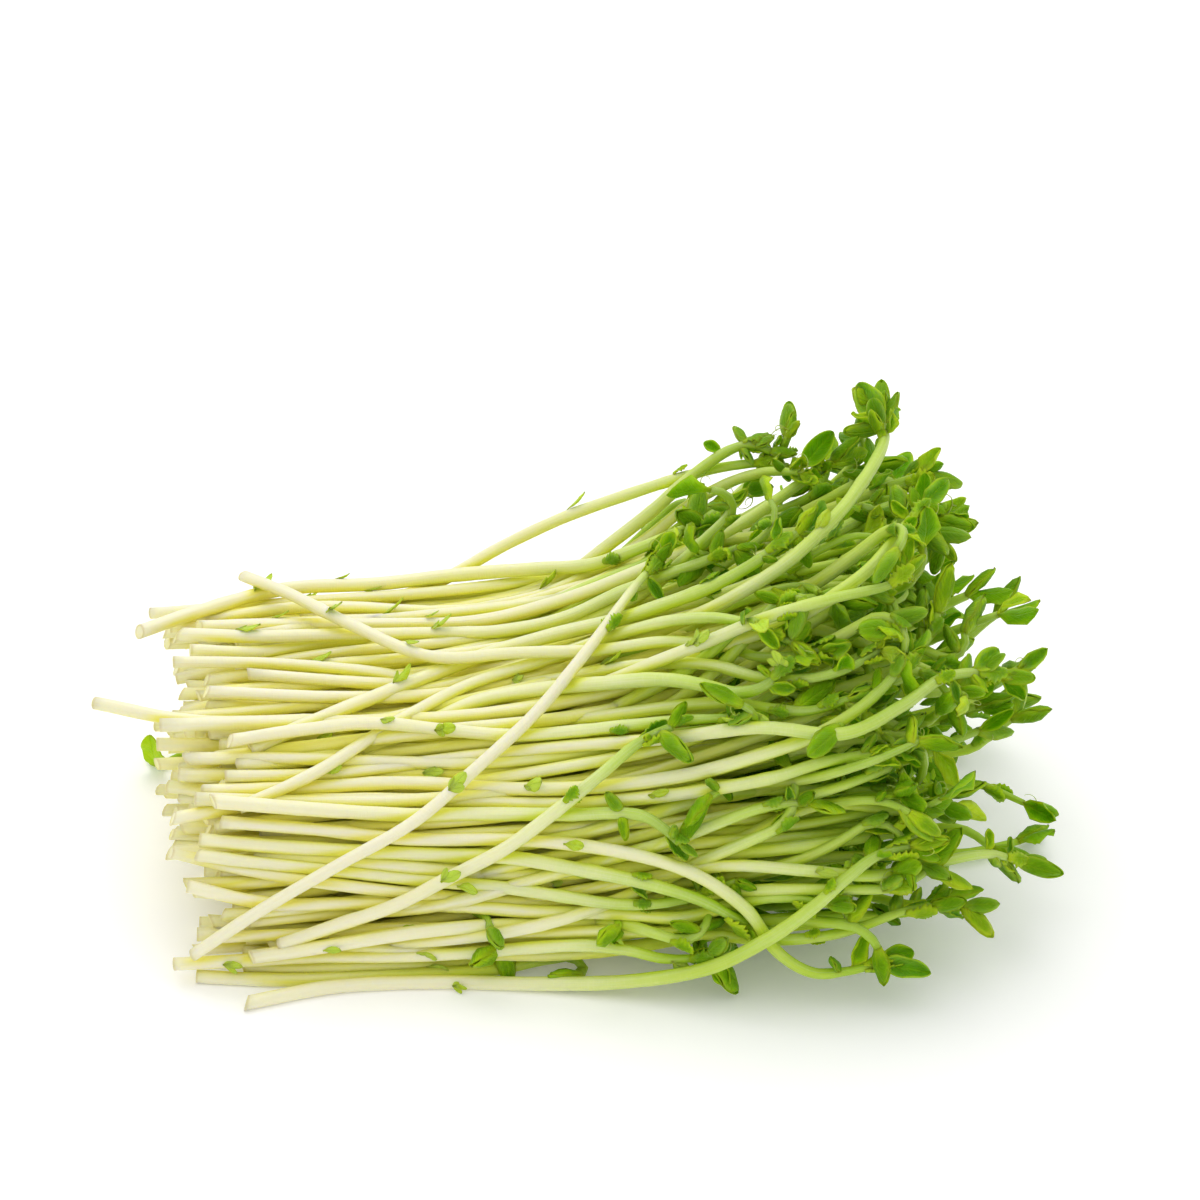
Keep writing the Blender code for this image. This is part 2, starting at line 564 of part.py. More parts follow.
class LeafPlacer:
    """Places leaves one by one, turned until they cross no other shoot."""

    def __init__(self, lines, outer_count):
        self.lines = lines
        self.outer_count = outer_count
        self.taken = []
        self.owners = []

    def is_clear(self, leaf, shoot):
        """Whether a leaf crosses nothing that belongs to another solid."""
        samples = leaf.samples()
        outer = shoot < self.outer_count
        if samples[:, 2].min() < LEAF_FLOOR_DISTANCE:
            return False
        if outer and (section_level(samples) < core_level(samples[:, 0]) + LEAF_CORE_LEVEL).any():
            return False
        own = shoot if outer else slice(self.outer_count, None)
        if distance_to_stems(samples, self.lines, own) < STEM_RADIUS + LEAF_STEM_DISTANCE:
            return False
        for other, owner in zip(self.taken, self.owners):
            if owner == shoot or min(owner, shoot) >= self.outer_count:
                continue
            if np.linalg.norm(other.mean(axis=0) - samples.mean(axis=0)) > NEAR_LEAF:
                continue
            if np.linalg.norm(other[:, None] - samples, axis=2).min() < LEAF_LEAF_DISTANCE:
                return False
        return True

    def place(self, rng, shoot, root, aim, facing, length, width, spread):
        """Tries the wished direction first, then directions further and further from it."""
        for attempt in range(LEAF_TRIES):
            reach = spread * attempt / LEAF_TRIES
            forward = unit(aim) + reach * random_direction(rng)
            turned = facing + (FACING_SPREAD + reach) * random_direction(rng)
            shrink = 1.0 - LEAF_SHRINK * attempt / LEAF_TRIES
            leaf = Leaf(root, forward, turned, length * shrink, width * shrink,
                        rng.uniform(*LEAF_CURL), rng.uniform(*LEAF_FOLD))
            if self.is_clear(leaf, shoot):
                self.taken.append(leaf.samples())
                self.owners.append(shoot)
                return leaf
        return None


def traced_leaves(rng, placer, shoot, route):
    """The leaves that the photograph shows on a traced shoot."""
    pixels = smooth_line(route["line"], LINE_POINTS)
    leaves = []
    for share, tip in route["leaves"]:
        grows_at = at_shares(pixels, [share])[0]
        root = at_shares(placer.lines[shoot], [min(share, 0.995)])[0]
        across, up = (tip[0] - grows_at[0]) * PHOTO_SCALE, (grows_at[1] - tip[1]) * PHOTO_SCALE
        toward = rng.uniform(*TRACED_LEAF_TOWARD) * math.hypot(across, up)
        aim = across * VIEW_RIGHT + up * VIEW_UP + toward * VIEW_BACK
        if route["side"] == "table":
            aim = np.array([across, up / VIEW_UP[1], 0.8])
        length = float(np.clip(np.linalg.norm(aim), *TRACED_LEAF_LENGTH))
        width = length * rng.uniform(*HEAD_LEAF_WIDTH)
        leaves.append(placer.place(rng, shoot, root, aim, VIEW_BACK, length, width, 0.55))
    return leaves


def head_leaves(rng, placer, shoot, amount):
    """A head by rule: leaflets that open from the tip, and a stipule below it."""
    line = placer.lines[shoot]
    way = unit(line[-1] - line[-3])
    around = unit(np.cross(way, random_direction(rng)))
    opening = rng.uniform(*HEAD_OPENING)
    leaves = []
    for index in range(amount):
        turn = math.pi * index + rng.uniform(-0.5, 0.5)
        outward = around * math.cos(turn) + np.cross(way, around) * math.sin(turn)
        share = 0.995 if index < 2 else 0.93
        aim = way + (opening + 0.3 * (index // 2)) * outward
        length = rng.uniform(*HEAD_LEAF_LENGTH) * (1.0 if index < 2 else STIPULE_LENGTH)
        root = at_shares(line, [share])[0]
        leaves.append(placer.place(rng, shoot, root, aim, outward, length,
                                   length * rng.uniform(*HEAD_LEAF_WIDTH), 0.9))
    return leaves


def dome_leaves(rng, placer):
    """Leaves of the innermost shoots, which stand out of the core's rounded right end."""
    leaves = []
    for index in range(DOME_LEAVES):
        level = DOME_LEAF_LEVEL * math.sqrt((index + 0.5) / DOME_LEAVES)
        x = np.interp(-level, [-share for share in CORE_LEVELS[DOME_FIRST_SECTION:]], CORE_X[DOME_FIRST_SECTION:])
        surface = section_point(x, spread_angle(index, STUB_ANGLES), level)
        surface[2] = max(surface[2], DOME_LEAF_LEAST_HEIGHT)
        outward = unit(surface - DOME_MIDDLE)
        root = surface - DOME_LEAF_SINK * outward
        facing = np.cross(outward, random_direction(rng))
        length = DOME_LEAF_SINK + rng.uniform(*HEAD_LEAF_LENGTH)
        width = length * rng.uniform(*HEAD_LEAF_WIDTH)
        leaves.append(placer.place(rng, len(placer.lines), root, outward, facing, length, width, 0.6))
    return [leaf for leaf in leaves if leaf]


def scale_leaf(rng, placer, shoot):
    """The small leaf that hugs the lower stem."""
    line = placer.lines[shoot]
    share = rng.uniform(*SCALE_LEAF_SHARES)
    root, ahead = at_shares(line, [share, share + 0.03])
    way = unit(ahead - root)
    outward = unit(root * np.array([0.0, 1.0, 1.0]))
    return placer.place(rng, shoot, root, way + SCALE_LEAF_OUTWARD * outward, outward, SCALE_LEAF_LENGTH,
                        SCALE_LEAF_WIDTH * SCALE_LEAF_LENGTH, 0.4)


def back_line(rng, index):
    angle = BACK_ANGLES[0] + (BACK_ANGLES[1] - BACK_ANGLES[0]) * (index + 0.5) / BACK_SHOOTS
    cut_x = BACK_CUT_X + rng.uniform(-BACK_CUT_SPREAD, BACK_CUT_SPREAD)
    return rule_line(rng, cut_x, angle, rng.uniform(*BACK_LEVELS), rng.uniform(*BACK_TIP_LEVELS))


def inner_line(rng, index):
    share = math.sqrt((index + 0.5) / INNER_SHOOTS)
    angle = spread_angle(index, INNER_ANGLES)
    return rule_line(rng, INNER_START, angle, INNER_LEVEL * share, INNER_TIP_LEVEL * share)


def lay_out():
    """The stems' stations and the leaves of every shoot, outer ones first, and the dome's leaves."""
    rng = random.Random(SEED)
    lines = [route_line(route) for route in ROUTES]
    lines += [back_line(rng, index) for index in range(BACK_SHOOTS)]
    outer_count = len(lines)
    lines += [inner_line(rng, index) for index in range(INNER_SHOOTS)]
    inner = np.arange(len(lines)) >= outer_count
    stations = relax(np.array([at_shares(line, STATIONS) for line in lines]), inner)
    placer = LeafPlacer(stations, outer_count)
    leaves = [traced_leaves(rng, placer, shoot, route) for shoot, route in enumerate(ROUTES)]
    for shoot in range(len(ROUTES), len(lines)):
        leaves.append(head_leaves(rng, placer, shoot, 2 if inner[shoot] else 3))
    for shoot in range(0, outer_count, 2):
        leaves[shoot].append(scale_leaf(rng, placer, shoot))
    leaves = [[leaf for leaf in group if leaf] for group in leaves]
    return stations, leaves, outer_count, dome_leaves(rng, placer)


def in_part(point):
    """A point of the pile, in Blender's metres, from the part's origin."""
    return Vector((point + PILE_PLACE) * MM)


def make_material(name, colour, roughness):
    material = bpy.data.materials.new(name)
    material.use_nodes = True
    shader = material.node_tree.nodes["Principled BSDF"]
    shader.inputs["Base Color"].default_value = (*colour, 1.0)
    shader.inputs["Roughness"].default_value = roughness
    shader.inputs["Metallic"].default_value = 0.0
    return material


def stem_object(name, stations, collection, roundness=STEM_ROUNDNESS):
    """A stem as a bevelled curve through its stations, made a mesh."""
    stations = fewer_stations(stations)
    run = np.concatenate([[0.0], np.cumsum(np.linalg.norm(np.diff(stations, axis=0), axis=1))])
    curve = bpy.data.curves.new(name, "CURVE")
    curve.dimensions = "3D"
    curve.bevel_depth = STEM_RADIUS * MM
    curve.bevel_resolution = roundness
    curve.use_fill_caps = True
    spline = curve.splines.new("POLY")
    spline.points.add(len(stations) - 1)
    for point, station, way in zip(spline.points, stations, run):
        point.co = (*in_part(station), 1.0)
        point.radius = 1.0 + (TIP_RADIUS / STEM_RADIUS - 1.0) * way / run[-1]
    guide = bpy.data.objects.new(name + "_guide", curve)
    bpy.context.scene.collection.objects.link(guide)
    bpy.context.view_layer.update()
    mesh = bpy.data.meshes.new_from_object(guide.evaluated_get(bpy.context.evaluated_depsgraph_get()))
    mesh.name = name
    bpy.data.objects.remove(guide)
    bm = bmesh.new()
    bm.from_mesh(mesh)
    bmesh.ops.remove_doubles(bm, verts=bm.verts, dist=1e-6)
    bmesh.ops.recalc_face_normals(bm, faces=bm.faces)
    bm.to_mesh(mesh)
    bm.free()
    return add_object(name, mesh, collection)


def add_object(name, mesh, collection):
    made = bpy.data.objects.new(name, mesh)
    collection.objects.link(made)
    return made


def leaf_object(name, leaf, corners, collection):
    """A leaf blade: a cornered outline, split into triangles, bent and thickened."""
    bm = bmesh.new()
    bmesh.ops.create_circle(bm, cap_ends=True, segments=corners, radius=1.0)
    bmesh.ops.triangulate(bm, faces=bm.faces)
    for vert in bm.verts:
        along = (0.5 * (1.0 - vert.co.y)) ** 0.85
        across = 0.0 if abs(vert.co.x) < 1e-3 else math.copysign(1.0, vert.co.x)
        vert.co = in_part(leaf.point(along, across) - 0.5 * BLADE_THICKNESS * leaf.facing)
    grown = bmesh.ops.extrude_face_region(bm, geom=bm.faces[:])
    upper = [item for item in grown["geom"] if isinstance(item, bmesh.types.BMVert)]
    bmesh.ops.translate(bm, verts=upper, vec=Vector(leaf.facing * BLADE_THICKNESS * MM))
    bmesh.ops.recalc_face_normals(bm, faces=bm.faces)
    mesh = bpy.data.meshes.new(name)
    bm.to_mesh(mesh)
    bm.free()
    return add_object(name, mesh, collection)


def core_section(x):
    """The core's outline at x, from the front floor line over the top to the back: a ridge for each stem."""
    level = float(core_level(x))
    corners = [section_point(x, math.pi * share, level) for share in np.linspace(0.0, 1.0, 91)]
    outline = at_shares(np.array(corners), np.linspace(0.0, 1.0, 2 * CORE_RIBS + 1))
    ridges = outline[1::2]
    ridges[:, 1:] *= 1.0 + RIB_HEIGHT / np.linalg.norm(ridges[:, 1:], axis=1)[:, None]
    return outline


def core_object(name, collection):
    """The core: a loft through its sections, flat where it lies on the table."""
    bm = bmesh.new()
    loops = []
    for x in CORE_X:
        loops.append([bm.verts.new(in_part(corner)) for corner in core_section(x)])
    for before, after in zip(loops, loops[1:]):
        for index, corner in enumerate(before):
            following = (index + 1) % len(before)
            bm.faces.new((corner, before[following], after[following], after[index]))
    bm.faces.new(loops[0])
    bm.faces.new(loops[-1])
    bmesh.ops.recalc_face_normals(bm, faces=bm.faces)
    mesh = bpy.data.meshes.new(name)
    bm.to_mesh(mesh)
    bm.free()
    return add_object(name, mesh, collection)


def stub_objects(collection):
    """Cut ends of the hidden shoots, which stand out of the core's left end."""
    rng = random.Random(SEED + 1)
    for index in range(CUT_END_STUBS):
        angle = spread_angle(index, STUB_ANGLES)
        level = STUB_LEVEL * math.sqrt((index + 0.5) / CUT_END_STUBS)
        inside = section_point(CORE_X[0] + STUB_SINK, angle, level)
        cut_x = CORE_X[0] - rng.uniform(*STUB_LENGTH)
        outside = section_point(cut_x, angle + rng.uniform(-STUB_SLANT, STUB_SLANT), level)
        inside[2] = max(inside[2], 2.0 * STEM_RADIUS)
        outside[2] = max(outside[2], 2.0 * STEM_RADIUS)
        stem_object("stub_%02d" % index, np.array([inside, outside]), collection, HIDDEN_STEM_ROUNDNESS)


def join_into(base, helpers, solver):
    """Fuses the helpers' objects into the base, and removes them."""
    if not helpers.objects:
        bpy.data.collections.remove(helpers)
        return
    union = base.modifiers.new("fuse", "BOOLEAN")
    union.operation = "UNION"
    union.operand_type = "COLLECTION"
    union.collection = helpers
    union.solver = solver
    with bpy.context.temp_override(object=base, active_object=base, selected_objects=[base]):
        bpy.ops.object.modifier_apply(modifier=union.name)
    for helper in list(helpers.objects):
        bpy.data.objects.remove(helper)
    bpy.data.collections.remove(helpers)


def merge_flat_faces(mesh):
    """Joins the small flat faces that a union leaves behind."""
    bm = bmesh.new()
    bm.from_mesh(mesh)
    bmesh.ops.dissolve_limit(bm, angle_limit=FLAT_ENOUGH, verts=bm.verts, edges=bm.edges)
    bmesh.ops.triangulate(bm, faces=bm.faces)
    bm.to_mesh(mesh)
    bm.free()


def helper_collection(name):
    made = bpy.data.collections.new(name)
    bpy.context.scene.collection.children.link(made)
    return made


def build_outer_shoot(number, stations, leaves, parts):
    name = "shoot_%02d" % number
    shoot = stem_object(name, stations, parts)
    shoot.data.materials.append(make_material(name, OUTER_COLOUR, OUTER_ROUGHNESS))
    helpers = helper_collection(name + "_leaves")
    for index, leaf in enumerate(leaves):
        corners = HEAD_LEAF_CORNERS if leaf.length > SMALL_LEAF_LENGTH else SMALL_LEAF_CORNERS
        leaf_object("%s_leaf_%d" % (name, index), leaf, corners, helpers)
    join_into(shoot, helpers, "EXACT")
    merge_flat_faces(shoot.data)


def build_inner_bunch(stations, leaves, loose_leaves, parts):
    bunch = core_object("inner_bunch", parts)
    bunch.data.materials.append(make_material("inner_bunch", INNER_COLOUR, INNER_ROUGHNESS))
    helpers = helper_collection("inner_bunch_shoots")
    stub_objects(helpers)
    for number, (line, group) in enumerate(zip(stations, leaves)):
        stem_object("inner_%02d" % number, line, helpers, HIDDEN_STEM_ROUNDNESS)
        for index, leaf in enumerate(group):
            leaf_object("inner_%02d_leaf_%d" % (number, index), leaf, SMALL_LEAF_CORNERS, helpers)
    for index, leaf in enumerate(loose_leaves):
        leaf_object("dome_leaf_%02d" % index, leaf, SMALL_LEAF_CORNERS, helpers)
    join_into(bunch, helpers, "MANIFOLD")


def main():
    for old in list(bpy.data.objects):
        bpy.data.objects.remove(old)
    parts = helper_collection(COLLECTION_NAME)
    stations, leaves, outer_count, loose_leaves = lay_out()
    for number in range(1, outer_count + 1):
        build_outer_shoot(number, stations[number - 1], leaves[number - 1], parts)
    build_inner_bunch(stations[outer_count:], leaves[outer_count:], loose_leaves, parts)


if __name__ == "__main__":
    main()
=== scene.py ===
"""Looks of a loose bunch of cut pea shoots that lies on its side.

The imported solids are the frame. Every outer shoot is built again on the same route, with a fine stem,
leaflets, stipules and tendrils, and the solid in the middle gives way to all the inner shoots that it
stands for.

The first half of the file lays out the stems and leaves, in millimetres. The second half models them,
gives them their finish and sets the stage.
"""

import collections
import functools
import itertools
import math
import random
import typing

import bmesh
import bpy
import numpy as np
from bpy.props import FloatProperty, FloatVectorProperty, IntProperty, PointerProperty
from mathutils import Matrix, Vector
from mathutils.kdtree import KDTree


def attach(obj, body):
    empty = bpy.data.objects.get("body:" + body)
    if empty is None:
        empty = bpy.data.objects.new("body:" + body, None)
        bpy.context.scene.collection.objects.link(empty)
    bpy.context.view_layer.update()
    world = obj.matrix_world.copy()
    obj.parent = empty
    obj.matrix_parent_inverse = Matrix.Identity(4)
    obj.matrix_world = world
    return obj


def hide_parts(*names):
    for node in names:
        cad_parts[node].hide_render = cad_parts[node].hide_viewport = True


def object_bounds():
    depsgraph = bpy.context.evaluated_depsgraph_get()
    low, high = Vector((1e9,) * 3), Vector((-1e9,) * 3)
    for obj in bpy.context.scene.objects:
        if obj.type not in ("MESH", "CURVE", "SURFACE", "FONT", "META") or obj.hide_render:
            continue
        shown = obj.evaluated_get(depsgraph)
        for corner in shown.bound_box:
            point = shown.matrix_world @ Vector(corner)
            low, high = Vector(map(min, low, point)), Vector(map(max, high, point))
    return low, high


bl_info = {
    "name": "Bunch of pea shoots",
    "version": (1, 0, 0),
    "blender": (4, 5, 0),
    "location": "3D View > Sidebar > Pea Shoots",
    "description": "Models a loose bunch of cut pea shoots shoot by shoot",
    "category": "Add Mesh",
}

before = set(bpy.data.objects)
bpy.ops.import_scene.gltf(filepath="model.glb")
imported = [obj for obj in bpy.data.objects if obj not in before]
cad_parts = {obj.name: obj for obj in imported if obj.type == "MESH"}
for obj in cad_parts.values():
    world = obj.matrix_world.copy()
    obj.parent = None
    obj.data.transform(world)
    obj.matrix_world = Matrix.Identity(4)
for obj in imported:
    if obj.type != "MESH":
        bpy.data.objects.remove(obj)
CAD_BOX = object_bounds()

MM = 0.001
SEED = 11

# Where the pile's middle stands, so that the origin is under the middle of the whole bunch
PILE_PLACE = np.array([-0.27, 0.65, 0.0])

# One shoot
STEM_RADIUS = 1.08
TIP_RADIUS = 0.92
STATIONS = np.array([0.0, 0.13, 0.27, 0.41, 0.54, 0.66, 0.76, 0.84, 0.90, 0.95, 1.0])
LINE_POINTS = 48
SMALL_LEAF_LENGTH = 4.8

# The pile's skin: a rounded section that grows to the right and ends there in a dome
SKIN_POWER = 2.4
LEFT_HALF_DEPTH = 47.0
LEFT_HEIGHT = 41.0
EXTRA_HALF_DEPTH = 9.0
EXTRA_HEIGHT = 40.0
SWELL_START = -30.0
SWELL_LENGTH = 100.0
DOME_START = 34.0
DOME_LENGTH = 54.0

# The solid core that the stems keep clear of, as a share of the skin, with low ribs along it
CORE_X = (-64.0, -26.0, -6.0, 12.0, 26.0, 38.0, 47.0, 52.0)
CORE_LEVELS = (0.82, 0.82, 0.82, 0.82, 0.78, 0.64, 0.42, 0.18)
RIB_HEIGHT = 2.0
CORE_CLEARANCE = 0.9
OUTER_MARGIN = RIB_HEIGHT + STEM_RADIUS + CORE_CLEARANCE
CORE_MARGIN_REACH = 5.0
LEAST_LEVEL = 0.05

# Shoots placed by rule. Angles run round the pile, from the front floor line over the top to the back.
GOLDEN_SHARE = 0.618
DOME_EDGE_LEVEL = 0.96
TIP_SHORTFALL = 9.0
LEAST_ANGLE = math.radians(2.0)
TURN = math.radians(9.0)
SWAY = (math.radians(1.0), math.radians(3.0))
SWAY_WAVES = 5.0
RISE_START = 0.45
HOOK_START = 0.82
HOOK_RANGE = 0.25
HOOK_LENGTH = 7.0
HOOK_WAYS = ((-0.4, 0.6), (-1.0, 1.0), (-0.3, 1.0))

BACK_SHOOTS = 10
BACK_ANGLES = (math.radians(100.0), math.radians(176.0))
BACK_CUT_X = -72.0
BACK_CUT_SPREAD = 8.0
BACK_LEVELS = (0.95, 1.0)
BACK_TIP_LEVELS = (0.72, 0.95)

INNER_SHOOTS = 22
INNER_START = 22.0
INNER_ANGLES = (math.radians(6.0), math.radians(174.0))
INNER_LEVEL = 0.74
INNER_TIP_LEVEL = 0.9

DOME_LEAVES = 42
DOME_ANGLES = (math.radians(8.0), math.radians(172.0))
DOME_LEAF_LEVEL = 0.78
DOME_LEAF_SINK = 2.5
DOME_LEAF_LEAST_HEIGHT = 4.0
DOME_MIDDLE = np.array([8.0, 0.0, 22.0])
DOME_FIRST_SECTION = 3

# Moving the stems apart until they only touch
CONTACT_GAP = 0.5
RELAX_ROUNDS = 320
PAIR_ROUNDS = 12
PAIR_REACH = 20.0
PUSH_SHARE = 0.42
SMOOTHING = 0.18
PULL_BACK = 0.012
FLOOR_GAP = 0.1

# The reference photograph: 1200 pixels wide, seen from the front and 30 degrees above
PHOTO_MIDDLE = 600.0
PHOTO_SCALE = 0.186
VIEW_PITCH = math.radians(30.0)
EYE_DISTANCE = 900.0
SIGHT_REACH = 130.0
SIGHT_STEP = 0.5
DEPTH_SMOOTHING = 12
AIM = np.array([3.7, 0.0, 53.7])
VIEW_RIGHT = np.array([1.0, 0.0, 0.0])
VIEW_UP = np.array([0.0, math.sin(VIEW_PITCH), math.cos(VIEW_PITCH)])
VIEW_BACK = np.array([0.0, -math.cos(VIEW_PITCH), math.sin(VIEW_PITCH)])

# Routes of the shoots that show in the photograph, in its pixels, from the cut end to the tip: how far out of
# the pile it lies at both ends, its line, its leaves, and which skin of the pile it follows.
# Each leaf is the pixel that its point reaches, and the share of the stem at which it grows if that isn't 1.
Route = collections.namedtuple("Route", ("lift", "line", "leaves", "side"), defaults=("front",))
ROUTES = (
    # Crossing shoots
    Route((1.04, 1.05), [(193, 955), (238, 926), (310, 882), (400, 837), (463, 785), (507, 751), (553, 705),
        (591, 659), (620, 617), (636, 592), (658, 565)],
        [(674, 545), (664, 608, 0.97)]),
    Route((1.0, 1.06), [(280, 942), (340, 922), (400, 902), (457, 873), (515, 843), (572, 799), (607, 770),
        (640, 742), (672, 727)],
        [(690, 704), (704, 736), (716, 758, 0.97)]),
    Route((1.0, 1.04), [(250, 752), (304, 730), (361, 703), (400, 690), (457, 667), (515, 646), (572, 631),
        (610, 622), (652, 608), (700, 592), (745, 570), (785, 545), (800, 535)],
        [(840, 505), (778, 518, 0.96), (826, 566)]),
    Route((0.99, 1.02), [(240, 812), (269, 805), (335, 769), (400, 728), (477, 690), (553, 663), (601, 644),
        (640, 635), (678, 622), (717, 621), (755, 628), (793, 643)],
        [(815, 625), (822, 665), (800, 680, 0.95)]),
    # Ridge shoots
    Route((0.98, 1.01), [(181, 634), (230, 641), (310, 641), (400, 637), (457, 637), (515, 631), (572, 617),
        (610, 598), (649, 581), (700, 563), (738, 548)],
        [(770, 530), (722, 530, 0.95), (762, 580)]),
    Route((0.98, 0.99), [(190, 650), (260, 645), (330, 634), (400, 629), (477, 621), (534, 606), (580, 585),
        (640, 560), (670, 542), (688, 532)],
        [(702, 548), (690, 512), (664, 522, 0.95)]),
    Route((1.0, 1.0), [(139, 633), (182, 621), (254, 603), (335, 593), (400, 591), (496, 579), (587, 573),
        (640, 553), (690, 530), (722, 508)],
        [(752, 490), (712, 488, 0.95)]),
    Route((0.99, 1.0), [(151, 615), (182, 612), (260, 607), (360, 602), (438, 598), (534, 585), (600, 572),
        (650, 548), (700, 512), (740, 492)],
        [(775, 484), (716, 492, 0.94)], "back"),
    Route((0.96, 1.0), [(300, 612), (360, 602), (430, 580), (480, 556), (520, 533), (580, 509), (640, 489),
        (700, 471), (752, 463), (788, 466)],
        [(808, 478), (790, 446, 0.97)], "back"),
    # Top shoots
    Route((0.98, 1.02), [(400, 610), (480, 598), (560, 575), (620, 534), (656, 507), (691, 477), (722, 455),
        (748, 444), (772, 452)],
        [(792, 467), (766, 434, 0.95), (706, 438, 0.88), (742, 428, 0.94)], "back"),
    Route((0.97, 1.02), [(420, 622), (500, 605), (560, 588), (640, 543), (690, 506), (736, 482), (770, 473),
        (800, 474)],
        [(836, 432), (832, 462)]),
    Route((0.96, 1.06), [(470, 640), (560, 610), (640, 570), (710, 520), (755, 480), (778, 456), (788, 436)],
        [(786, 396), (800, 412)], "back"),
    Route((0.95, 1.08), [(500, 690), (600, 650), (700, 610), (770, 572), (834, 515), (866, 474), (884, 440),
        (880, 418)],
        [(882, 374), (862, 400), (848, 448, 0.96), (850, 376, 0.95), (888, 392)]),
    Route((0.95, 1.06), [(560, 640), (640, 600), (730, 560), (800, 530), (840, 500), (866, 488), (892, 488)],
        [(910, 450), (886, 462)], "back"),
    Route((0.95, 1.04), [(540, 700), (640, 672), (720, 645), (800, 612), (852, 581), (880, 555), (905, 526),
        (922, 504)],
        [(949, 480), (888, 514, 0.94), (912, 490, 0.97)]),
    Route((0.95, 1.03), [(560, 690), (660, 660), (760, 625), (840, 600), (900, 575), (930, 556), (942, 540)],
        [(938, 500), (956, 560), (934, 575)], "back"),
    # Middle shoots
    Route((0.97, 1.05), [(480, 722), (560, 702), (640, 675), (690, 656), (745, 635), (800, 613), (850, 597),
        (888, 587), (905, 570)],
        [(912, 536), (898, 548)]),
    Route((0.98, 1.03), [(239, 759), (310, 752), (370, 742), (420, 722), (477, 700), (534, 687), (582, 684),
        (620, 678), (668, 677), (700, 682), (740, 692), (768, 684), (786, 664)],
        [(796, 636), (796, 690, 0.95)]),
    Route((1.02, 1.0), [(230, 744), (304, 736), (373, 733), (424, 736), (515, 740), (591, 733), (640, 726),
        (700, 720), (746, 717)],
        [(770, 708), (764, 726), (748, 700, 0.96)]),
    Route((0.98, 1.04), [(225, 778), (310, 776), (427, 763), (505, 748), (591, 746), (650, 740), (709, 733),
        (774, 727), (830, 732), (866, 735), (892, 716), (916, 693), (944, 678), (975, 672), (1000, 676)],
        [(1033, 698), (1024, 672), (990, 650, 0.95), (950, 690, 0.92)]),
    Route((0.98, 1.0), [(205, 790), (300, 786), (400, 781), (496, 787), (553, 791), (630, 783), (700, 772),
        (770, 751), (830, 727), (880, 690), (906, 660)],
        [(914, 630), (926, 648), (880, 668, 0.94)]),
    Route((1.0, 1.03), [(213, 805), (310, 811), (400, 815), (457, 814), (534, 814), (600, 814), (630, 812),
        (658, 824), (680, 843)],
        [(716, 876), (610, 796, 0.86), (622, 830, 0.86)]),
    # Front shoots
    Route((1.0, 1.03), [(221, 821), (310, 829), (373, 839), (419, 841), (496, 841), (553, 843), (610, 852),
        (649, 862), (700, 879), (745, 915), (770, 952), (800, 972), (830, 975), (878, 964)],
        [(932, 966), (920, 948), (880, 944, 0.96)]),
    Route((0.98, 1.01), [(200, 840), (300, 847), (400, 851), (505, 855), (572, 866), (630, 877), (700, 896),
        (742, 916), (762, 932)],
        [(776, 968), (760, 958)]),
    Route((0.98, 1.0), [(198, 855), (300, 868), (400, 877), (438, 884), (515, 889), (572, 900), (630, 908),
        (687, 902), (735, 885)],
        [(762, 878), (752, 902), (700, 918, 0.85)]),
    Route((0.98, 1.0), [(187, 886), (240, 900), (310, 906), (400, 902), (477, 908), (553, 913), (630, 915),
        (668, 922), (720, 915), (780, 900), (830, 905)],
        [(858, 912), (850, 890), (815, 880, 0.94)]),
    # Floor shoots
    Route((0.96, 1.0), [(500, 906), (570, 896), (640, 882), (720, 868), (790, 870), (850, 878), (900, 872),
        (950, 860), (990, 854), (1018, 861)],
        [(1064, 876), (1050, 860), (970, 840, 0.9)]),
    Route((1.0, 1.02), [(174, 964), (253, 960), (335, 956), (429, 956), (496, 950), (572, 946), (610, 947),
        (639, 954), (672, 961), (715, 958)],
        [(746, 1000), (730, 990), (690, 975, 0.92)]),
    Route((0.98, 0.98), [(215, 938), (300, 935), (400, 928), (480, 932), (560, 934), (640, 930), (720, 935),
        (790, 940), (850, 930), (900, 912), (935, 905)],
        [(970, 905), (956, 888), (912, 890, 0.94)]),
    Route((1.02, 1.03), [(246, 1003), (310, 990), (386, 981), (515, 982), (610, 980), (690, 970), (745, 947),
        (800, 915), (845, 878), (880, 853), (912, 846)],
        [(950, 838), (944, 858), (900, 826, 0.94)]),
    # Left shoots
    Route((1.08, 0.97), [(245, 586), (310, 611), (355, 634), (390, 655), (450, 668), (530, 662), (600, 655),
        (690, 640), (760, 655), (820, 650)],
        [(850, 640), (848, 668), (806, 672, 0.94)]),
    Route((1.0, 0.97), [(95, 703), (152, 701), (180, 712), (207, 722), (270, 716), (345, 711), (430, 708),
        (540, 716), (640, 706), (730, 700), (800, 712), (850, 700)],
        [(880, 690), (872, 716), (838, 676, 0.93)]),
    Route((0.99, 0.98), [(173, 662), (233, 659), (310, 664), (386, 668), (440, 680), (520, 678), (600, 668),
        (700, 662), (780, 680), (850, 668), (880, 650)],
        [(896, 624), (908, 650), (862, 636, 0.94)]),
    Route((0.99, 0.98), [(172, 818), (202, 808), (280, 800), (360, 797), (440, 798), (520, 803), (600, 800),
        (680, 792), (760, 780), (830, 760), (890, 752)],
        [(925, 745), (918, 768), (880, 770, 0.94)]),
    # Table shoot
    Route((1.0, 1.0), [(420, 688), (360, 696), (300, 708), (235, 734), (190, 755), (158, 766)],
        [(117, 795), (134, 756)], "table"),
)

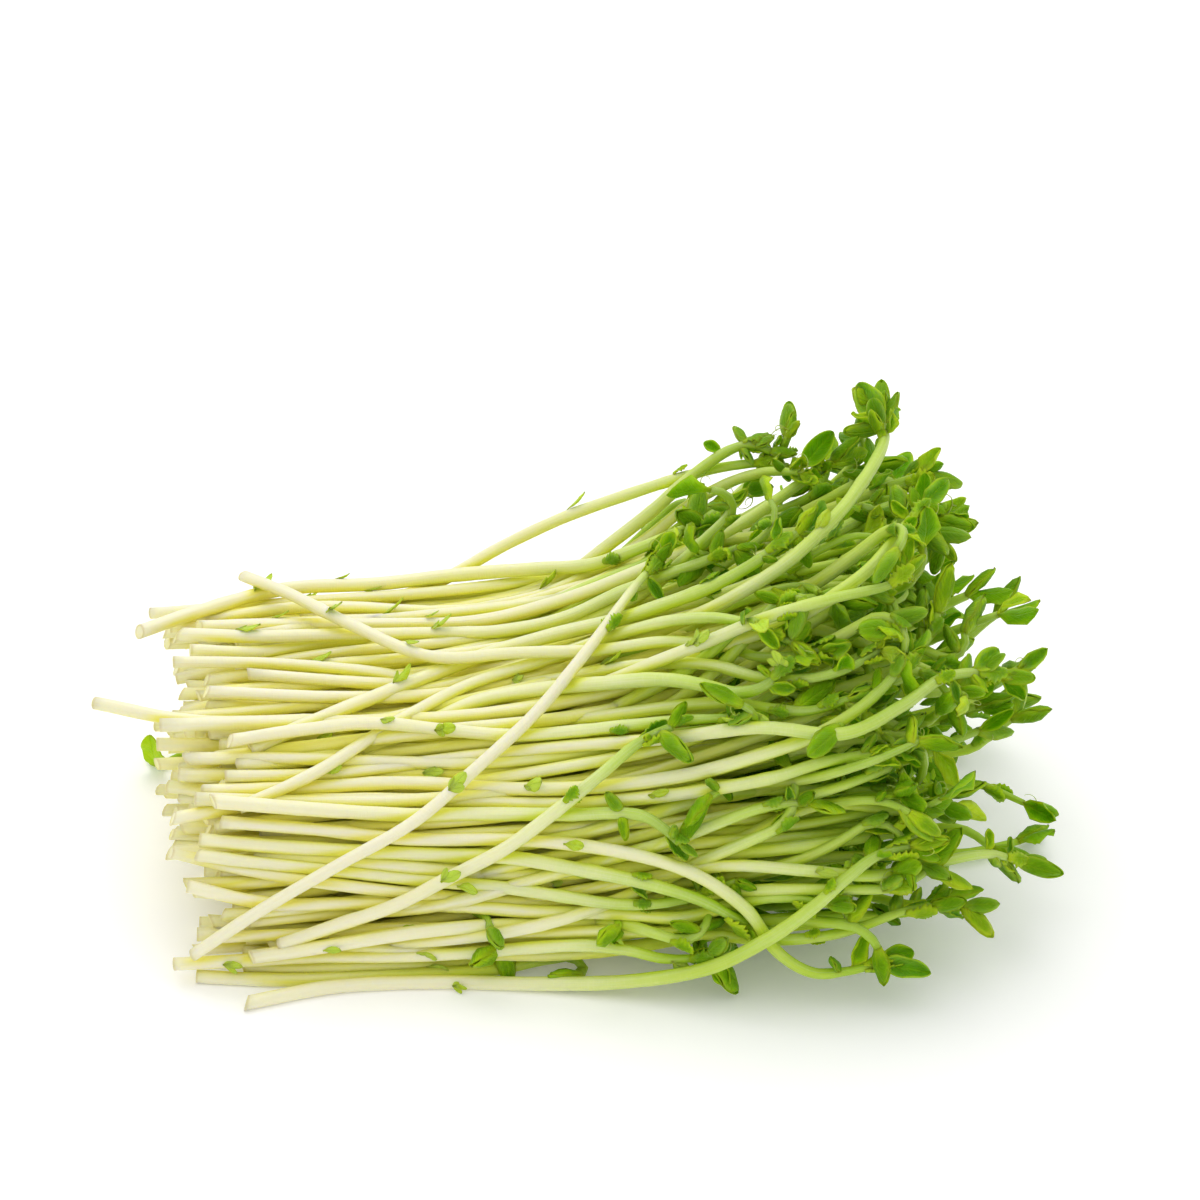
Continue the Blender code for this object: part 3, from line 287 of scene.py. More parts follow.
# Leaf sizes: length, and width as a share of the length
HEAD_LEAF_LENGTH = (7.0, 9.5)
HEAD_LEAF_WIDTH = (0.50, 0.66)
TRACED_LEAF_LENGTH = (5.0, 10.5)
TRACED_LEAF_TOWARD = (-0.25, 0.45)
SCALE_LEAF_LENGTH = 4.2
SCALE_LEAF_WIDTH = 0.7
SCALE_LEAF_SHARES = (0.18, 0.62)
SCALE_LEAF_OUTWARD = 0.55
STIPULE_LENGTH = 0.75
HEAD_OPENING = (0.25, 0.9)
LEAF_CURL = (0.2, 0.8)
LEAF_FOLD = (0.1, 0.45)
BULGE_POWERS = (0.75, 0.8)
NECK_LENGTH = 0.17
NECK_WIDTH = 0.16

# Turning the leaves until they cross no other shoot
LEAF_TRIES = 14
LEAF_SHRINK = 0.25
FACING_SPREAD = 0.35
SAMPLES_ALONG = np.linspace(0.25, 1.0, 6)
SAMPLES_ACROSS = (-0.9, -0.45, 0.0, 0.45, 0.9)
LEAF_LEAF_DISTANCE = 1.35
LEAF_STEM_DISTANCE = 0.75
LEAF_FLOOR_DISTANCE = 0.45
LEAF_CORE_LEVEL = 0.06
NEAR_LEAF = 14.0
NEAR_STEM = 22.0

# Growing the leaves of a shoot: shares of the stem, and how far their ways may stray
TIP_SHARE = 0.995
STIPULE_SHARE = 0.93
HEAD_PAIR = 2
HEAD_LEAVES = 3
HEAD_TURN_SPREAD = 0.5
NEXT_PAIR_OPENING = 0.3
TRACED_LEAF_SPREAD = 0.55
HEAD_LEAF_SPREAD = 0.9
DOME_LEAF_SPREAD = 0.6
SCALE_LEAF_SPREAD = 0.4
SCALE_LEAF_STEP = 0.03
TABLE_LEAF_RISE = 0.8


def smoothstep(value):
    """A smooth rise from 0 to 1."""
    value = np.clip(value, 0.0, 1.0)
    return value * value * (3.0 - 2.0 * value)


def between(limits, share):
    """The number at a share of the way between two limits."""
    return limits[0] + (limits[1] - limits[0]) * share


def unit(vector):
    """A vector of length 1 that points the same way."""
    return vector / max(np.linalg.norm(vector), 1e-9)


def any_side(rng, way):
    """A random direction at right angles to a way."""
    return unit(np.cross(way, random_direction(rng)))


def turned_round(vector, axis, turn):
    """A vector at right angles to an axis, turned about it."""
    return vector * math.cos(turn) + np.cross(axis, vector) * math.sin(turn)


def pile_section(x):
    """Half depth and height of the pile's skin at x."""
    swell = smoothstep((x - SWELL_START) / SWELL_LENGTH)
    return LEFT_HALF_DEPTH + EXTRA_HALF_DEPTH * swell, LEFT_HEIGHT + EXTRA_HEIGHT * swell


def section_level(points):
    """How far out of the pile points are, level with X: 0 on its axis and 1 on its skin."""
    half_depth, height = pile_section(points[..., 0])
    aside = (np.abs(points[..., 1]) / half_depth) ** SKIN_POWER
    return (aside + (np.abs(points[..., 2]) / height) ** SKIN_POWER) ** (1.0 / SKIN_POWER)


def skin_level(points):
    """As section_level, with the dome at the right end counted in."""
    past = np.maximum(0.0, points[..., 0] - DOME_START) / DOME_LENGTH
    return (section_level(points) ** SKIN_POWER + past ** SKIN_POWER) ** (1.0 / SKIN_POWER)


def section_point(x, angle, level):
    """A point round the pile, with the angle counted from the front floor line over the top to the back."""
    half_depth, height = pile_section(x)
    cosine = math.cos(angle)
    depth = math.copysign(abs(cosine) ** (2.0 / SKIN_POWER), cosine)
    rise = abs(math.sin(angle)) ** (2.0 / SKIN_POWER)
    return np.array([x, -half_depth * level * depth, height * level * rise])


def dome_reach(level):
    """How far right a shoot reaches that ends on the dome at this level."""
    past = max(DOME_EDGE_LEVEL ** SKIN_POWER - level ** SKIN_POWER, 0.0) ** (1.0 / SKIN_POWER)
    return DOME_START + DOME_LENGTH * past


def dome_x(level):
    """Where the core's rounded right end has this level."""
    levels = [-share for share in CORE_LEVELS[DOME_FIRST_SECTION:]]
    return np.interp(-level, levels, CORE_X[DOME_FIRST_SECTION:])


def spread_angle(index, limits):
    """Angles that are spread evenly and never line up."""
    return between(limits, (index * GOLDEN_SHARE) % 1.0)


def disc_share(index, count):
    """Distances from the middle that fill a disc evenly."""
    return math.sqrt((index + 0.5) / count)


def random_direction(rng):
    """Three random numbers, evenly in all directions."""
    return np.array([rng.gauss(0, 1), rng.gauss(0, 1), rng.gauss(0, 1)])


def smooth_line(points, count):
    """A smooth curve through points, at even spacing."""
    points = np.array(points, dtype=float)
    ends = np.vstack([2 * points[0] - points[1], points, 2 * points[-1] - points[-2]])
    fine = []
    for index in range(1, len(ends) - 2):
        before, start, stop, after = ends[index - 1:index + 3]
        for step in np.linspace(0.0, 1.0, 16, endpoint=False):
            fine.append(0.5 * (2 * start + (stop - before) * step
                               + (2 * before - 5 * start + 4 * stop - after) * step ** 2
                               + (3 * start - before - 3 * stop + after) * step ** 3))
    fine.append(points[-1])
    return at_shares(np.array(fine), np.linspace(0.0, 1.0, count))


def at_shares(line, shares):
    """Points of a line at shares of its length."""
    run = np.concatenate([[0.0], np.cumsum(np.linalg.norm(np.diff(line, axis=0), axis=1))])
    return np.stack([np.interp(np.asarray(shares) * run[-1], run, column) for column in line.T], axis=-1)


def line_length(line):
    return np.linalg.norm(np.diff(line, axis=0), axis=1).sum()


def place_and_way(line, share, step):
    """A point at a share of a line, and the way that the line takes over the next step."""
    root, ahead = at_shares(line, [share, share + step])
    return root, unit(ahead - root)


def sight_line(pixel):
    """The eye's place and direction through a pixel of the photograph."""
    eye = AIM + EYE_DISTANCE * VIEW_BACK
    across = (pixel[0] - PHOTO_MIDDLE) * PHOTO_SCALE
    up = (PHOTO_MIDDLE - pixel[1]) * PHOTO_SCALE
    return eye, unit(AIM + across * VIEW_RIGHT + up * VIEW_UP - eye)


def depth_on_pile(pixel, side, level):
    """The distance from the eye at which a pixel's sight line meets the pile's skin."""
    eye, way = sight_line(pixel)
    if side == "table":
        return (STEM_RADIUS - eye[2]) / way[2]
    depths = np.arange(EYE_DISTANCE - SIGHT_REACH, EYE_DISTANCE + SIGHT_REACH, SIGHT_STEP)
    path = eye + depths[:, None] * way
    levels = np.where(path[:, 2] >= STEM_RADIUS, skin_level(path), np.inf)
    inside = np.flatnonzero(levels <= level)
    if len(inside) == 0:
        return depths[np.argmin(levels)]
    return depths[inside[0 if side == "front" else -1]]


def route_line(route):
    """A traced route as a line in space."""
    pixels = smooth_line(route.line, LINE_POINTS)
    levels = np.linspace(*route.lift, LINE_POINTS)
    depths = np.array([depth_on_pile(pixel, route.side, level) for pixel, level in zip(pixels, levels)])
    for _ in range(DEPTH_SMOOTHING):
        depths[1:-1] = 0.25 * (depths[:-2] + 2 * depths[1:-1] + depths[2:])
    line = []
    for pixel, depth in zip(pixels, depths):
        eye, way = sight_line(pixel)
        line.append(eye + depth * way)
    return np.array(line)


def rule_line(rng, start_x, angle, level, tip_level, shortfall=TIP_SHORTFALL, most_turn=TURN):
    """A shoot placed by rule: it runs along the pile, ends on the dome and hooks a little at its tip."""
    tip_x = dome_reach(tip_level) - rng.uniform(0.0, shortfall)
    turn = rng.uniform(-most_turn, most_turn)
    sway = rng.uniform(*SWAY)
    phase = rng.uniform(0.0, 2.0 * math.pi)
    shares = np.linspace(0.0, 1.0, LINE_POINTS)
    line = []
    for share in shares:
        late = float(smoothstep((share - RISE_START) / (1.0 - RISE_START)))
        here = angle + turn * share + sway * math.sin(phase + SWAY_WAVES * share)
        here = min(max(here, LEAST_ANGLE), math.pi - LEAST_ANGLE)
        line.append(section_point(between((start_x, tip_x), share), here, between((level, tip_level), late)))
    hook = unit(np.array([rng.uniform(*limits) for limits in HOOK_WAYS]))
    return np.array(line) + np.outer(smoothstep((shares - HOOK_START) / HOOK_RANGE), HOOK_LENGTH * hook)


def tree_of(points):
    """A tree in which near points are found fast."""
    tree = KDTree(len(points))
    for index, point in enumerate(points):
        tree.insert(point, index)
    tree.balance()
    return tree


def near_pairs(middles, owner, reach):
    """Pairs of stem pieces of different shoots whose middles are near each other."""
    tree = tree_of(middles)
    pairs = []
    for index, middle in enumerate(middles):
        for _, other, _ in tree.find_range(middle, reach):
            if other > index and owner[other] != owner[index]:
                pairs.append((index, other))
    return np.array(pairs, dtype=int).reshape(-1, 2)


def closest_shares(start_a, stop_a, start_b, stop_b):
    """Where two straight stem pieces come closest, as shares of each."""
    way_a = stop_a - start_a
    way_b = stop_b - start_b
    apart = start_a - start_b
    aa = np.maximum((way_a * way_a).sum(1), 1e-9)
    bb = np.maximum((way_b * way_b).sum(1), 1e-9)
    ab = (way_a * way_b).sum(1)
    ac = (way_a * apart).sum(1)
    bc = (way_b * apart).sum(1)
    slant = np.maximum(aa * bb - ab * ab, 1e-6)
    share_a = np.clip((ab * bc - bb * ac) / slant, 0.0, 1.0)
    share_b = np.clip((ab * share_a + bc) / bb, 0.0, 1.0)
    share_a = np.clip((ab * share_b - ac) / aa, 0.0, 1.0)
    return share_a, share_b


def pushed_apart(flat, pairs, starts):
    """The points of all stems after one small push between every two pieces that are too near."""
    first, second = starts[pairs[:, 0]], starts[pairs[:, 1]]
    share_a, share_b = closest_shares(flat[first], flat[first + 1], flat[second], flat[second + 1])
    place_a = flat[first] + share_a[:, None] * (flat[first + 1] - flat[first])
    place_b = flat[second] + share_b[:, None] * (flat[second + 1] - flat[second])
    gap = place_a - place_b
    distance = np.maximum(np.linalg.norm(gap, axis=1), 1e-3)
    need = 2.0 * STEM_RADIUS + CONTACT_GAP
    moved = gap * (PUSH_SHARE * np.maximum(need - distance, 0.0) / distance)[:, None]
    change = np.zeros_like(flat)
    np.add.at(change, first, moved * (1.0 - share_a)[:, None])
    np.add.at(change, first + 1, moved * share_a[:, None])
    np.add.at(change, second, -moved * (1.0 - share_b)[:, None])
    np.add.at(change, second + 1, -moved * share_b[:, None])
    return flat + change


def relax(lines, inner, held=None, margin=OUTER_MARGIN, rounds=RELAX_ROUNDS, reach=PAIR_REACH):
    """Moves the stems apart until they only touch, and keeps them smooth, on the table and off the core.

    Points that are held stay where they are.
    """
    count, size = lines.shape[:2]
    points = lines.copy()
    starts = (np.arange(count)[:, None] * size + np.arange(size - 1)).ravel()
    owner = np.repeat(np.arange(count), size - 1)
    for step in range(rounds):
        flat = points.reshape(-1, 3)
        if step % PAIR_ROUNDS == 0:
            pairs = near_pairs(0.5 * (flat[starts] + flat[starts + 1]), owner, reach)
        shift = pushed_apart(flat, pairs, starts).reshape(points.shape) - lines
        settle = 1.0 - smoothstep(step / rounds)
        shift[:, 1:-1] += SMOOTHING * settle * (0.5 * (shift[:, :-2] + shift[:, 2:]) - shift[:, 1:-1])
        points = lines + shift * (1.0 - PULL_BACK * settle)
        points = np.where(inner[:, None, None], points, off_core(points, margin))
        points[..., 2] = np.maximum(points[..., 2], STEM_RADIUS + FLOOR_GAP)
        if held is not None:
            points[held] = lines[held]
    return points


def core_level(x):
    """The core's size at x, as a share of the pile's skin, and 0 past its ends."""
    return np.interp(x, CORE_X, CORE_LEVELS, left=0.0, right=0.0)


def off_core(points, room):
    """Moves stems out of the core, straight away from the pile's axis."""
    half_depth, height = pile_section(points[..., 0])
    level = np.maximum(section_level(points), LEAST_LEVEL)
    margin = room / np.minimum(half_depth, height)
    reach = CORE_MARGIN_REACH
    widest = np.maximum.reduce([core_level(points[..., 0] + step) for step in (-reach, 0.0, reach)])
    least = np.where(widest > 0.0, widest + margin, 0.0)
    factor = np.where(level < least, least / level, 1.0)
    moved = points.copy()
    moved[..., 1:] *= factor[..., None]
    return moved


def leaf_profile(along):
    """The half width at a share of the length: a short narrow neck, then an egg shape with a point."""
    beyond = min(max((along - NECK_LENGTH) / (1.0 - NECK_LENGTH), 0.0), 1.0)
    return max(math.sin(math.pi * beyond ** BULGE_POWERS[0]) ** BULGE_POWERS[1], NECK_WIDTH * (1.0 - along))


class Leaf:
    """One blade: where it grows, which way it points and faces, and its shape."""

    def __init__(self, root, forward, facing, length, width, curl, fold):
        self.root = root
        self.forward = unit(forward)
        self.facing = unit(facing - np.dot(facing, self.forward) * self.forward)
        self.side = np.cross(self.forward, self.facing)
        self.length = length
        self.width = width
        self.curl = curl
        self.fold = fold

    def point(self, along, across):
        """A point of the blade: along runs from root to tip, and across from -1 to 1 between its edges."""
        half = 0.5 * self.width * leaf_profile(along)
        bend = self.curl * along
        run = self.forward * (1.0 - bend * bend / 6.0) - self.facing * bend / 2.0
        middle = self.root + self.length * along * run
        return middle + half * (across * self.side + abs(across) * self.fold * self.facing)

    def samples(self):
        """Points all over the blade."""
        return np.array([self.point(along, across) for along in SAMPLES_ALONG for across in SAMPLES_ACROSS])


def distance_to_stems(samples, lines, skip):
    """The least distance from samples to any other stem's axis."""
    others = np.delete(lines, skip, axis=0)
    starts = others[:, :-1].reshape(-1, 3)
    stops = others[:, 1:].reshape(-1, 3)
    near = np.linalg.norm(0.5 * (starts + stops) - samples.mean(axis=0), axis=1) < NEAR_STEM
    starts, stops = starts[near], stops[near]
    if len(starts) == 0:
        return np.inf
    way = stops - starts
    share = np.clip(((samples[:, None] - starts) * way).sum(2) / (way * way).sum(1), 0.0, 1.0)
    return np.linalg.norm(samples[:, None] - starts - share[..., None] * way, axis=2).min()


class LeafPlacer:
    """Places leaves one by one, turned until they cross no other shoot."""

    def __init__(self, lines, outer_count):
        self.lines = lines
        self.outer_count = outer_count
        self.taken = []
        self.owners = []

    def is_clear(self, leaf, shoot):
        """Whether a leaf crosses nothing that belongs to another solid."""
        samples = leaf.samples()
        outer = shoot < self.outer_count
        if samples[:, 2].min() < LEAF_FLOOR_DISTANCE:
            return False
        if outer and (section_level(samples) < core_level(samples[:, 0]) + LEAF_CORE_LEVEL).any():
            return False
        own = shoot if outer else slice(self.outer_count, None)
        if distance_to_stems(samples, self.lines, own) < STEM_RADIUS + LEAF_STEM_DISTANCE:
            return False
        for other, owner in zip(self.taken, self.owners):
            if owner == shoot or min(owner, shoot) >= self.outer_count:
                continue
            if np.linalg.norm(other.mean(axis=0) - samples.mean(axis=0)) > NEAR_LEAF:
                continue
            if np.linalg.norm(other[:, None] - samples, axis=2).min() < LEAF_LEAF_DISTANCE:
                return False
        return True

    def place(self, rng, shoot, root, aim, facing, length, width, spread):
        """Tries the wished direction first, then directions further and further from it."""
        for attempt in range(LEAF_TRIES):
            reach = spread * attempt / LEAF_TRIES
            forward = unit(aim) + reach * random_direction(rng)
            turned = facing + (FACING_SPREAD + reach) * random_direction(rng)
            shrink = 1.0 - LEAF_SHRINK * attempt / LEAF_TRIES
            leaf = Leaf(root, forward, turned, length * shrink, width * shrink,
                        rng.uniform(*LEAF_CURL), rng.uniform(*LEAF_FOLD))
            if self.is_clear(leaf, shoot):
                self.taken.append(leaf.samples())
                self.owners.append(shoot)
                return leaf
        return None


def traced_leaves(rng, placer, shoot, route):
    """The leaves that the photograph shows on a traced shoot."""
    pixels = smooth_line(route.line, LINE_POINTS)
    leaves = []
    for tip_x, tip_y, *lower in route.leaves:
        share = lower[0] if lower else 1.0
        grows_at = at_shares(pixels, [share])[0]
        root = at_shares(placer.lines[shoot], [min(share, TIP_SHARE)])[0]
        across = (tip_x - grows_at[0]) * PHOTO_SCALE
        up = (grows_at[1] - tip_y) * PHOTO_SCALE
        toward = rng.uniform(*TRACED_LEAF_TOWARD) * math.hypot(across, up)
        aim = across * VIEW_RIGHT + up * VIEW_UP + toward * VIEW_BACK
        if route.side == "table":
            aim = np.array([across, up / VIEW_UP[1], TABLE_LEAF_RISE])
        length = float(np.clip(np.linalg.norm(aim), *TRACED_LEAF_LENGTH))
        width = length * rng.uniform(*HEAD_LEAF_WIDTH)
        leaves.append(placer.place(rng, shoot, root, aim, VIEW_BACK, length, width, TRACED_LEAF_SPREAD))
    return leaves


def head_leaves(rng, placer, shoot, amount):
    """A head by rule: leaflets that open from the tip, and a stipule below it."""
    line = placer.lines[shoot]
    way = unit(line[-1] - line[-3])
    around = any_side(rng, way)
    opening = rng.uniform(*HEAD_OPENING)
    leaves = []
    for index in range(amount):
        turn = math.pi * index + rng.uniform(-HEAD_TURN_SPREAD, HEAD_TURN_SPREAD)
        outward = turned_round(around, way, turn)
        share, size = (TIP_SHARE, 1.0) if index < HEAD_PAIR else (STIPULE_SHARE, STIPULE_LENGTH)
        aim = way + (opening + NEXT_PAIR_OPENING * (index // HEAD_PAIR)) * outward
        length = rng.uniform(*HEAD_LEAF_LENGTH) * size
        width = length * rng.uniform(*HEAD_LEAF_WIDTH)
        root = at_shares(line, [share])[0]
        leaves.append(placer.place(rng, shoot, root, aim, outward, length, width, HEAD_LEAF_SPREAD))
    return leaves


def dome_leaves(rng, placer):
    """Leaves of the innermost shoots, which stand out of the core's rounded right end."""
    leaves = []
    for index in range(DOME_LEAVES):
        level = DOME_LEAF_LEVEL * disc_share(index, DOME_LEAVES)
        surface = section_point(dome_x(level), spread_angle(index, DOME_ANGLES), level)
        surface[2] = max(surface[2], DOME_LEAF_LEAST_HEIGHT)
        outward = unit(surface - DOME_MIDDLE)
        root = surface - DOME_LEAF_SINK * outward
        facing = np.cross(outward, random_direction(rng))
        length = DOME_LEAF_SINK + rng.uniform(*HEAD_LEAF_LENGTH)
        width = length * rng.uniform(*HEAD_LEAF_WIDTH)
        shoot = len(placer.lines)
        leaves.append(placer.place(rng, shoot, root, outward, facing, length, width, DOME_LEAF_SPREAD))
    return [leaf for leaf in leaves if leaf]


def scale_leaf(rng, placer, shoot):
    """The small leaf that hugs the lower stem."""
    line = placer.lines[shoot]
    root, way = place_and_way(line, rng.uniform(*SCALE_LEAF_SHARES), SCALE_LEAF_STEP)
    outward = unit(root * np.array([0.0, 1.0, 1.0]))
    aim = way + SCALE_LEAF_OUTWARD * outward
    width = SCALE_LEAF_WIDTH * SCALE_LEAF_LENGTH
    return placer.place(rng, shoot, root, aim, outward, SCALE_LEAF_LENGTH, width, SCALE_LEAF_SPREAD)


def back_line(rng, index):
    """A shoot round the back."""
    angle = BACK_ANGLES[0] + (BACK_ANGLES[1] - BACK_ANGLES[0]) * (index + 0.5) / BACK_SHOOTS
    cut_x = BACK_CUT_X + rng.uniform(-BACK_CUT_SPREAD, BACK_CUT_SPREAD)
    return rule_line(rng, cut_x, angle, rng.uniform(*BACK_LEVELS), rng.uniform(*BACK_TIP_LEVELS))


def inner_line(rng, index):
    """A shoot whose head stands out of the core's right end."""
    share = disc_share(index, INNER_SHOOTS)
    angle = spread_angle(index, INNER_ANGLES)
    return rule_line(rng, INNER_START, angle, INNER_LEVEL * share, INNER_TIP_LEVEL * share)


def lay_out():
    """The stems' stations and the leaves of every shoot, outer ones first, and the dome's leaves."""
    rng = random.Random(SEED)
    lines = [route_line(route) for route in ROUTES]
    lines += [back_line(rng, index) for index in range(BACK_SHOOTS)]
    outer_count = len(lines)
    lines += [inner_line(rng, index) for index in range(INNER_SHOOTS)]
    inner = np.arange(len(lines)) >= outer_count
    stations = relax(np.array([at_shares(line, STATIONS) for line in lines]), inner)
    placer = LeafPlacer(stations, outer_count)
    leaves = [traced_leaves(rng, placer, shoot, route) for shoot, route in enumerate(ROUTES)]
    for shoot in range(len(ROUTES), len(lines)):
        leaves.append(head_leaves(rng, placer, shoot, HEAD_PAIR if inner[shoot] else HEAD_LEAVES))
    for shoot in range(0, outer_count, 2):
        leaves[shoot].append(scale_leaf(rng, placer, shoot))
    leaves = [[leaf for leaf in group if leaf] for group in leaves]
    return stations, leaves, outer_count, dome_leaves(rng, placer)


# Shoots that only the looks have: those in the layers between the outer ones, and those inside the pile
EVEN_SHARES = np.concatenate([np.linspace(0.0, 0.72, 13), np.linspace(0.77, 1.0, 8)])
EVEN_SOURCE_POINTS = 64
RULE_POINTS = 14
SHELL_SHOOTS = 112
SHELL_ANGLES = (math.radians(1.0), math.radians(179.0))
SHELL_SPACING = (0.1, 0.9)
SHELL_LEVELS = (0.85, 0.99)
SHELL_LEVEL_STRAY = 0.05
SHELL_TIP_LEVELS = (0.62, 0.97)
SHELL_SHORTFALL = 50.0
SHELL_MARGIN = 0.4
SHELL_ROUNDS = 110
SHELL_TURN = math.radians(17.0)
SHELL_REACH = 10.5
SHELL_LEAVES = (2, 2, 3)
TOP_DROP = 0.1
CUT_X_FRONT = -61.5
CUT_X_TOP = -71.0
CUT_X_SPREAD = 5.0
MOST_STRAY = 1.8
LOOSE_END = 2.4
LOOSE_RISE = 0.7
LOOSE_LENGTH = 42.0

# Shoots whose cut ends are hidden, followed back into the pile
HIDDEN_START = -52.0
HIDDEN_SINK = 0.15
HIDDEN_GAP = 22.0
INNER_GAP = 8.0
DOME_GAP = 10.0
HELD_MARGIN = 4.0
JOINED_MARGIN = 14.0

# Rows of shoots that fill the middle of the pile, and sway together
PACK_SPACING = 3.1
ROW_SHARE = 0.87
PACK_BOTTOM = 0.3
PACK_STRAY = (0.4, 0.3)
PACK_LEVEL = 0.80
PACK_CLEARANCE = 2.2
PACK_TIPS = (-20.0, 12.0)
PACK_FAN = 0.2
PACK_SWAY = (2.2, 1.6)
PACK_SWAY_START = 60.0
PACK_WAVES = (31.0, 27.0)
PACK_ROW_WAVES = (17.0, 19.0)
PACK_LEAVES = (2, 3)

# The shoots on the floor, just behind the frontmost one
FLOOR_FILL = 4
FLOOR_FILL_FRONT = -47.6
FLOOR_FILL_SPACING = 2.4
FLOOR_FILL_STARTS = (-5.0, 5.0)
FLOOR_FILL_START = -66.0
FLOOR_FILL_ENDS = (-24.0, 6.0)
FLOOR_FILL_WAVE = 13.0
FLOOR_FILL_DRAWN_IN = 7.0
FLOOR_FILL_RISE = (3.0, 9.0)
FLOOR_FILL_STEP = 0.6
FLOOR_FILL_LATE = 0.6

# Where low shoots rise, and where shoots wave on their own
UNDERCUT_START = -8.0
UNDERCUT_LENGTH = 46.0
UNDERCUT_RISE = 8.0
UNDERCUT_EDGE = 22.0
UNDERCUT_TOP = 30.0
UNDERCUT_DRAWN_IN = 0.08
SWING_LENGTH = 50.0
SWING = 3.6
SWING_PITCH = (9.0, 16.0)
SWING_PHASE = 6.3
SMOOTH_ROUNDS = 8

# The neck that bends over below a head, and the bounds that a head keeps to
NECK_TRIES = 12
NECK_POINTS = 8
NECK_REACH = (7.0, 14.0)
NECK_TURN = (0.4, 2.4)
NECK_LEAN = np.array([0.2, -0.15, 0.25])
HEAD_REACH = 8.0
BOX_SLACK = 2.0
RIGHT_EDGE = ((885, 400), (889, 440), (915, 465), (948, 500), (956, 560), (958, 630), (1005, 655),
              (1032, 690), (1002, 730), (990, 770), (990, 850), (1002, 885), (985, 915), (905, 935))
EDGE_ROOM = (48.0, 115.0)
EDGE_SLACK = 8.0
LEAST_KEPT = 0.6
KEPT_STEPS = 21

# How a head is dressed
HEAD_SIZE = (0.55, 0.8)
HEAD_TWIST = 0.7
HEAD_SMALLER = (0.55, 0.95)
HEAD_CURL = (-0.9, 0.9)
HEAD_ROOTS = (0.93, 0.99)
FIRST_ROOT = 0.998
FIRST_BEND = 0.35
BEND_BACK = (0.1, 1.9)
LEAST_TIP_HEIGHT = 0.5
CROWDED_HEADS = {13: 3, 10: 4, 11: 3, 15: 3, 16: 3, 9: 3, 20: 3, 27: 3}
COMMON_HEAD = 2
OPEN_LEAVES = (35,)

# The dense tuft of leaves at the very top
CLUSTER = 13
CLUSTER_LEAVES = 9
CLUSTER_SPAN = 0.06
CLUSTER_TURN = 2.4
CLUSTER_TWIST = 0.3
CLUSTER_LEAN = np.array([-0.3, -0.1, 1.0])
CLUSTER_SPREAD = (0.2, 0.75)
CLUSTER_LENGTH = (5.5, 8.0)
CLUSTER_CURL = (-0.5, 0.8)
CLUSTER_LIFT = 0.6

# Closed, folded and open leaves
POD_SHARE = 0.6
FOLDED_SHARE = 0.9
POD_WIDTH = (0.50, 0.66)
POD_WRAP = (1.15, 1.5)
POD_BLUNTNESS = (0.1, 1.1)
POD_CURL = 0.3
POD_STRAIGHTENING = 0.25
POD_TWIST = 0.12
POD_SIDES = ((0.0, 1.0), (math.pi, 0.94))
POD_SHADE = 0.78
LEAF_SHADE = 0.92
FOLDED_WIDTH = 1.1
FOLDED_WRAP = (1.2, 1.9)
LEAF_ROOM = 1.15
LEAF_TURNS = 7
LEAF_TURN = 0.16
ROOM_ALONG = (0.5, 0.75, 1.0)
ROOM_ACROSS = (-0.8, 0.0, 0.8)

# The blade of a leaf: shares of its length or width, waves in radians
BLADE_THICKNESS = 0.24
ROOT_THICKNESS = 0.4
ROOT_REACH = 0.07
ROUND_END_ROWS = 0.8
LUMPS = 0.055
LUMP_WAVES = (3.4, 8.5)
LUMP_START = 0.3
EDGE_WAVES = 11.0
ANY_PHASE = 6.0
TEETH = 5.2
TOOTH_POINT = 0.6
TOOTHED_END = 1.02
BLADE_LEAST_HEIGHT = (0.15, 0.1)

# Stipules, scales and tendrils
STIPULES_LENGTH = (4.2, 6.4)
STIPULES_WIDTH = 0.74
STIPULES_LIFT = 0.16
STIPULES_CURL = (-0.7, -0.1)
STIPULES_WRAP = (0.9, 1.4)
SCALE_LIFT = 0.11
SCALE_SHADE = (0.9, 1.2)
SCALE_WIDTH = (0.34, 0.62)
SCALE_STEPS = 160
SCALE_LEAST_LOBE = 0.3
SCALE_TALLER = 1.2
RANDOM_SCALE_SHARES = (0.08, 0.7)
TENDRIL_SHARE = 0.6
TENDRIL_RINGS = 12
TENDRIL_STEPS = 12
TENDRIL_FORK = 4

# Stems: rings and sides, widths in millimetres, and places in millimetres from the tip
FINE_RINGS = 84
PLAIN_RINGS = 36
FINE_SIDES = 14
PLAIN_SIDES = 8
CUT_INSET = 0.24
TIP_STRETCH = 45.0
TIP_RING_SHARE = 0.6
STEM_SPREAD = (1.0, 1.22)
NECK_TAPER = 15.0
JOINTS = ((9.0, 0.0), (27.0, 6.0), (66.0, 10.0), (106.0, 0.0))
JOINT_LENGTH = 1.3
JOINT_SWELL = 0.07
UNEVENNESS = 0.018
SQUARENESS = 0.045
SQUARE_REACH = 70.0
CUT_SLANT = 0.3
CUT_DIP = 0.15
LEAST_HEIGHT = 0.02

# How green a stem is, and how much shade it has
GREEN_REACH = 42.0
PALE_REACH = {1: 12.0, 2: 26.0}
NECK_GREEN = 0.95
GREEN_RIGHT = 0.72
GREEN_START = 15.0
GREEN_LENGTH = 85.0
# Below this height stems turn green further left: partly their own colour and partly painted shade under the
# pile
GREEN_LOW = 28.0
OPEN_LEVEL = 0.98
SHADE_DEPTH = 0.3
DEEP_SHADE = 0.7
INWARD_SHADE = 0.5
FACING_AWAY = 0.6
PROBES = (1.0, 2.8)
CROWDED_SHADE = 1.5
OPEN_END = 9.0
OVERHANG_START = -10.0
OVERHANG_LENGTH = 40.0
OVERHANG_TOP = 24.0
OVERHANG_DEPTH = 16.0
OVERHANG_SHADE = 0.55
TREE_STEP = 1.0


